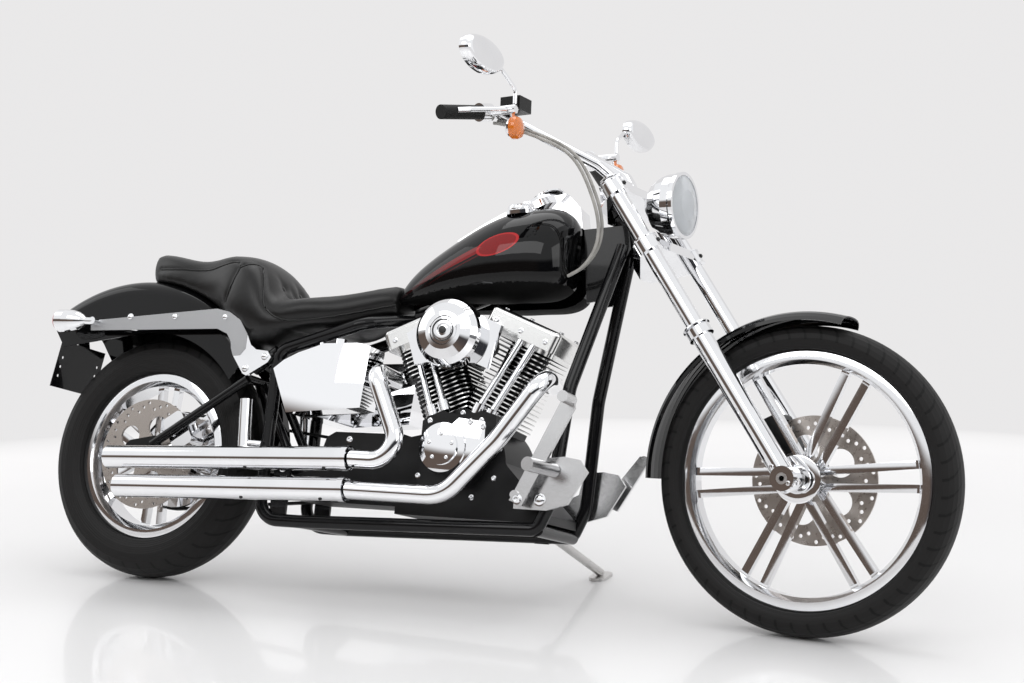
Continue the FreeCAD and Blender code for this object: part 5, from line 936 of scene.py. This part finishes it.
# Outline of a fender strut as shares of its length and height, then that box in millimetres.
STRUT_OUTLINE = (
    (0, 0.81), (0.69, 1.0), (0.76, 0.95), (0.82, 0.83), (0.865, 0.62), (0.865, 0.40), (0.84, 0.30),
    (0.805, 0.29), (0.79, 0.40), (0.785, 0.50), (0.76, 0.62), (0.705, 0.695), (0.01, 0.655))
STRUT_BACK = -191
STRUT_FOOT = 526
STRUT_LENGTH = 586
STRUT_HEIGHT = 175
STRUT_FACE = 139.2
PANEL_BORDER = 9
PANEL_RISE = 0.9


def strut_panels():
    """Satin panel let into each fender strut, a border's width inside its outline."""
    for side, label in SIDES:
        name = "strut_panel_" + label
        shape = bmesh.new()
        corners = []
        for along, up in STRUT_OUTLINE:
            x = STRUT_BACK + along * STRUT_LENGTH
            z = STRUT_FOOT + up * STRUT_HEIGHT
            corners.append(shape.verts.new((x, side * STRUT_FACE, z)))
        panel = shape.faces.new(corners)
        bmesh.ops.inset_region(shape, faces=[panel], thickness=PANEL_BORDER, use_even_offset=True)
        bmesh.ops.delete(shape, geom=[face for face in shape.faces if face != panel], context="FACES")
        raised = bmesh.ops.extrude_face_region(shape, geom=[panel])
        for made in raised["geom"]:
            if isinstance(made, bmesh.types.BMVert):
                made.co.y += side * PANEL_RISE
        bmesh.ops.recalc_face_normals(shape, faces=shape.faces)
        shape.transform(CHASSIS)
        place_piece(name, mesh_from(shape, name), "chassis", SATIN)


# Seams of the seat as (x, z) and its buttons as (x, y, z), in the chassis frame.
RIM_LINE = (
    (258, 816), (282, 828), (306, 826), (326, 800), (341, 768), (355, 723), (373, 695), (407, 675),
    (453, 671), (532, 685), (617, 707), (700, 732))
REAR_LINE = (
    (-30, 826), (60, 822), (141, 819), (188, 828), (234, 836), (252, 826), (257, 812), (250, 781),
    (240, 745), (229, 722))
BUTTONS = ((350, 42, 780), (366, 42, 742), (358, 0, 762))
BUTTON_PROFILE = [(8, -2), (8, 0.5), (6, 2), (0, 2.6)]

# Size of the even mesh in metres and how often it is smoothed; then from where a seam is looked
# for, lower step by step where its line passes above the seat.
EVEN_SIZE = 0.006
EVEN_ROUNDS = 12
BESIDE_SEAT = 400
LOWEST_DROP = 60
DROP_STEP = 3

# How the cover moves along its normals at the seams, between them and at the buttons, whose
# folds spread like a star; all in millimetres but the count.
SEAM_DEPTH = 3.2
SEAM_WIDTH = 6.5
PUFF_RISE = 2.2
PUFF_WIDTH = 26
BUTTON_DEPTH = 7.0
BUTTON_WIDTH = 17
FOLD_DEPTH = 1.1
FOLD_WIDTH = 20
FOLD_PLACE = 26
FOLD_REACH = 75
FOLD_COUNT = 3
SEAT_UNDERSIDE = 650


def chain(points, step=4.0):
    """Points every few millimetres along a smooth line through the given ones."""
    last = len(points) - 1
    found = []
    for number in range(last):
        a, b, c, d = (Vector(points[min(max(number + shift, 0), last)]) for shift in (-1, 0, 1, 2))
        count = max(2, int((c - b).length / step))
        for part in range(count):
            t = part / count
            straight = 2 * b + (c - a) * t
            bend = (2 * a - 5 * b + 4 * c - d) * t * t
            twist = (3 * b - a - 3 * c + d) * t ** 3
            found.append(0.5 * (straight + bend + twist))
    return found + [Vector(points[-1])]


def even_seat():
    """Copy of the CAD seat with an even mesh, in millimetres of the chassis frame."""
    cover = linked("seat_cover", NODES["seat"].data.copy())
    remesh = cover.modifiers.new("remesh", "REMESH")
    remesh.mode = "VOXEL"
    remesh.voxel_size = EVEN_SIZE
    even = cover.modifiers.new("even", "SMOOTH")
    even.factor = 0.5
    even.iterations = EVEN_ROUNDS
    depsgraph = bpy.context.evaluated_depsgraph_get()
    mesh = bpy.data.meshes.new_from_object(cover.evaluated_get(depsgraph))
    cover.modifiers.clear()
    cover.data = mesh
    mesh.transform(CHASSIS.inverted())
    return cover


def seam_paths(tree):
    """Both seams drawn on each side of the seat, as lists of points on its surface."""
    paths = []
    for line in (RIM_LINE, REAR_LINE):
        for side, _ in SIDES:
            inward = Vector((0, -side, 0))
            path = []
            for spot in chain([(x, 0, z) for x, z in line]):
                for drop in range(0, LOWEST_DROP, DROP_STEP):
                    start = Vector((spot.x, side * BESIDE_SEAT, spot.z - drop))
                    hit = tree.ray_cast(start, inward)[0]
                    if hit is not None:
                        path.append(hit)
                        break
            paths.append(path)
    return paths


def button_places(tree):
    """Points of the seat's surface under the buttons; those off the middle come in pairs."""
    ahead_and_above = Vector((300, 0, 180))
    aim = Vector((-1, 0, -0.6)).normalized()
    found = []
    for x, y, z in BUTTONS:
        for side in ((RIGHT, LEFT) if y else (LEFT,)):
            hit = tree.ray_cast(Vector((x, side * y, z)) + ahead_and_above, aim)[0]
            if hit is not None:
                found.append(hit)
    return found


def bell(away, width):
    """Bell curve that is 1 where the distance is nothing."""
    return math.exp(-(away / width) ** 2)


def pad(mesh, paths, pulls):
    """Puffs the cover out between its seams and pulls it in at the seams and buttons."""
    seams = [point for path in paths for point in path]
    nearest = kdtree.KDTree(len(seams))
    for number, point in enumerate(seams):
        nearest.insert(point, number)
    nearest.balance()
    mesh.update()
    normals = [vertex.normal.copy() for vertex in mesh.vertices]
    for vertex, normal in zip(mesh.vertices, normals):
        far = nearest.find(vertex.co)[2]
        move = PUFF_RISE * (1 - bell(far, PUFF_WIDTH)) - SEAM_DEPTH * bell(far, SEAM_WIDTH)
        for pull in pulls:
            away = (vertex.co - pull).length
            move -= BUTTON_DEPTH * bell(away, BUTTON_WIDTH)
            if away < FOLD_REACH:
                turn = math.atan2(vertex.co.z - pull.z, vertex.co.y - pull.y)
                fold = max(0, math.cos(FOLD_COUNT * turn))
                move -= FOLD_DEPTH * fold * bell(away - FOLD_PLACE, FOLD_WIDTH)
        if vertex.co.z < SEAT_UNDERSIDE and normal.z < -0.5:
            move = min(move, 0)
        vertex.co += normal * move


def seat_piping(number, path, surface):
    """Thin cord along one seam; the path is in millimetres of the chassis frame."""
    radius = 0.0026
    sides = 8
    piping = bmesh.new()
    spots = [surface.find_nearest(CHASSIS @ point)[0] for point in path[::2]]
    rings = []
    for index, spot in enumerate(spots):
        ahead = spots[min(index + 1, len(spots) - 1)] - spots[max(index - 1, 0)]
        corners = circle(spot, ahead.normalized(), radius, sides)
        rings.append([piping.verts.new(corner) for corner in corners])
    for low, high in zip(rings, rings[1:]):
        for step in range(sides):
            after = (step + 1) % sides
            piping.faces.new((low[step], low[after], high[after], high[step]))
    for end in (rings[0], rings[-1]):
        piping.faces.new(end)
    bmesh.ops.recalc_face_normals(piping, faces=piping.faces)
    name = "seat_piping_%d" % number
    place_piece(name, mesh_from(piping, name), "chassis", PIPING, 80)


def seat_cover():
    """Padded cover over the seat, with piping along its seams and buttons where it is pulled in."""
    cover = even_seat()
    mesh = cover.data
    tree = search_tree(mesh)
    paths = seam_paths(tree)
    pulls = button_places(tree)
    pad(mesh, paths, pulls)
    mesh.transform(CHASSIS)
    mesh.materials.clear()
    mesh.materials.append(LEATHER)
    smooth(mesh)
    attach(cover, "chassis")
    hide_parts("seat")
    surface = search_tree(mesh)
    for number, path in enumerate(paths):
        seat_piping(number, path, surface)
    buttons = Kit("seat_buttons", "chassis", PIPING)
    for pull in pulls:
        spot, normal, _, _ = surface.find_nearest(CHASSIS @ pull)
        buttons.turn(spot, normal, BUTTON_PROFILE, 20)
    buttons.finish()


# Way of the cables from the right switch housing to the front of the tank, and how far each one
# runs beside it, in millimetres of the chassis frame. The radius is in metres.
CABLE_ROUTE = (
    (993, -206, 1148), (1025, -211, 1142), (1062, -202, 1126), (1108, -194, 1110), (1155, -184, 1091),
    (1190, -174, 1065), (1213, -164, 1032), (1231, -154, 992), (1247, -143, 948), (1255, -132, 903),
    (1248, -121, 860), (1226, -110, 828), (1199, -100, 806), (1171, -91, 798))
CABLE_SHIFTS = ((0, 0, 0), (-5, -10, -8))
CABLE_RADIUS = 0.004


def cable_mesh(shift):
    """Round cord along the cables' way, moved aside by a shift."""
    line = bpy.data.curves.new("cable_line", "CURVE")
    line.dimensions = "3D"
    line.bevel_depth = CABLE_RADIUS
    line.bevel_resolution = 3
    line.use_fill_caps = True
    spline = line.splines.new("NURBS")
    spline.points.add(len(CABLE_ROUTE) - 1)
    for point, spot in zip(spline.points, CABLE_ROUTE):
        point.co = (*(CHASSIS @ (Vector(spot) + Vector(shift))), 1)
    spline.order_u = 3
    spline.use_endpoint_u = True
    spline.resolution_u = 8
    holder = linked("cable_holder", line)
    depsgraph = bpy.context.evaluated_depsgraph_get()
    mesh = bpy.data.meshes.new_from_object(holder.evaluated_get(depsgraph))
    bpy.data.objects.remove(holder)
    return mesh


def control_cables():
    """Two cables that bend between the right switch housing and the front of the tank."""
    for number, shift in enumerate(CABLE_SHIFTS):
        cable = place_piece("control_cable_%d" % (number + 1), cable_mesh(shift), None, CABLE, 60)
        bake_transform(cable)


chassis_pieces()
wheel_pieces()
fork_pieces()
strut_panels()
seat_cover()
control_cables()

# Studio, in metres: the floor starts behind the camera and sweeps up behind the motorcycle, and
# from a distance on it is seen as a plain glow.
BACKDROP = (0.82, 0.812, 0.815)
FLOOR_TINT = (0.81, 0.805, 0.805)
NO_LIGHT = (0, 0, 0)
FLOOR_START = -9
SWEEP_START = 5.5
SWEEP_RADIUS = 3.0
SWEEP_STEPS = 12
WALL_TOP = 12
HALF_WIDTH = 14
PLAIN_BEGINS = 1.2
PLAIN_FULL = 4.0


def floor_mesh():
    """Level floor, a quarter-round sweep and an upright wall, as one strip."""
    line = []
    for step in range(SWEEP_STEPS):
        line.append((FLOOR_START + step / SWEEP_STEPS * (SWEEP_START - FLOOR_START), 0))
    for step in range(SWEEP_STEPS + 1):
        turn = step / SWEEP_STEPS * math.pi / 2
        line.append((SWEEP_START + SWEEP_RADIUS * math.sin(turn), SWEEP_RADIUS * (1 - math.cos(turn))))
    line.append((SWEEP_START + SWEEP_RADIUS, WALL_TOP))
    built = bmesh.new()
    rows = [[built.verts.new((x, y, z)) for x in (-HALF_WIDTH, HALF_WIDTH)] for y, z in line]
    for a, b in zip(rows, rows[1:]):
        built.faces.new((a[0], a[1], b[1], b[0]))
    mesh = mesh_from(built, "floor")
    smooth(mesh)
    return mesh


def floor_material():
    """Pale polished floor near the motorcycle that turns into a plain glow further out."""
    n = Nodes("studio_floor")
    x, y, _ = n.local(Matrix.Identity(4))
    far = n.span(n.length(x, y), PLAIN_BEGINS, PLAIN_FULL)
    rays = n.add("ShaderNodeLightPath").outputs
    mirrored = n.math("MAXIMUM", rays["Is Glossy Ray"], rays["Is Transmission Ray"])
    seen = n.math("MAXIMUM", rays["Is Camera Ray"], mirrored)
    plain = n.times(far, seen)
    shiny = n.minus(1, plain)
    n.set(Emission_Strength=1.0, Coat_Roughness=0.06)
    n.set(Base_Color=n.mix(plain, FLOOR_TINT, NO_LIGHT))
    n.set(Emission_Color=n.mix(plain, NO_LIGHT, BACKDROP))
    n.set(Specular_IOR_Level=n.times(shiny, 0.5))
    n.set(Coat_Weight=n.times(shiny, 0.4))
    n.vary("Roughness", n.noise(scale=0.8, detail=2), 0.30, 0.36, top=0.7)
    return n.mat


def studio_floor():
    sweep = linked("studio_floor", floor_mesh())
    sweep.data.materials.append(floor_material())


# Colours of the room, and the spans of the direction behind and up over which it turns dark.
ROOM_PALE = (0.97, 0.975, 0.985)
ROOM_BROWN = (0.125, 0.095, 0.08)
ROOM_GREY = (0.04, 0.04, 0.045)
DARK_BEHIND = (0.0, 0.40)
DARK_BELOW = (0.34, 0.20)


def studio_world():
    """Pale room that is dark low down behind the camera, for the chrome; the camera sees it plain."""
    world = bpy.data.worlds.new("studio")
    bpy.context.scene.world = world
    world.use_nodes = True
    n = Graph(world.node_tree)
    background = n.tree.nodes["Background"]
    axes = n.add("ShaderNodeSeparateXYZ")
    n.link(n.add("ShaderNodeTexCoord").outputs["Generated"], axes.inputs["Vector"])
    behind = n.span(n.times(axes.outputs["Y"], -1), *DARK_BEHIND)
    low = n.span(axes.outputs["Z"], *DARK_BELOW)
    dark = n.ramp(axes.outputs["X"], [(0.05, ROOM_BROWN), (0.25, ROOM_GREY)])
    room = n.mix(n.times(behind, low), ROOM_PALE, dark)
    rays = n.add("ShaderNodeLightPath").outputs
    n.link(n.mix(rays["Is Camera Ray"], room, BACKDROP), background.inputs["Color"])
    background.inputs["Strength"].default_value = 1.0


# Area lights: name, place, point aimed at, size across and up, and power in watts.
LIGHTS = (
    ("key_light", (-0.6, -4.6, 4.6), (0, 0, 0.5), (5.0, 2.2), 85),
    ("side_light", (4.8, -2.2, 2.6), (0.2, 0, 0.5), (2.4, 3.0), 45),
    ("top_light", (0.2, 1.0, 5.2), (0, 0, 0.4), (5.5, 3.0), 80),
    ("rear_light", (-5.0, -1.0, 3.4), (0, 0, 0.5), (2.4, 3.0), 22),
)


def studio_lights():
    for name, place, aim, size, power in LIGHTS:
        lamp = bpy.data.lights.new(name, "AREA")
        lamp.shape = "RECTANGLE"
        lamp.size, lamp.size_y = size
        lamp.energy = power
        made = linked(name, lamp)
        made.location = place
        made.rotation_euler = (Vector(aim) - Vector(place)).to_track_quat("-Z", "Y").to_euler()


# Camera: its place from the middle of the rear wheel in metres, its angles, and its focal length
# in pixels of the photograph's width.
CAMERA_FROM_REAR = Vector((2.31229, -3.03734, 0.49075))
CAMERA_YAW = math.radians(22.887)
CAMERA_PITCH = math.radians(2.893)
CAMERA_ROLL = math.radians(-0.532)
FOCAL_PIXELS = 1374.1
PHOTO_WIDTH = 1024
SENSOR_WIDTH = 36


def camera():
    """Photographer's camera: stands to the right and ahead of the middle, about at seat height."""
    turn = Matrix.Rotation(CAMERA_YAW, 3, "Z")
    forward = turn @ Matrix.Rotation(-CAMERA_PITCH, 3, "X") @ Vector((0, 1, 0))
    right = turn @ Vector((1, 0, 0))
    up = right.cross(forward)
    cosine = math.cos(CAMERA_ROLL)
    sine = math.sin(CAMERA_ROLL)
    axes = Matrix((cosine * right + sine * up, cosine * up - sine * right, -forward))
    lens_data = bpy.data.cameras.new("camera")
    lens_data.sensor_width = SENSOR_WIDTH
    lens_data.lens = SENSOR_WIDTH * FOCAL_PIXELS / PHOTO_WIDTH
    made = linked("camera", lens_data)
    made.matrix_world = Matrix.Translation(REAR + CAMERA_FROM_REAR) @ axes.transposed().to_4x4()
    bpy.context.scene.camera = made


studio_floor()
studio_world()
studio_lights()
camera()
bpy.context.scene.view_settings.view_transform = "Standard"
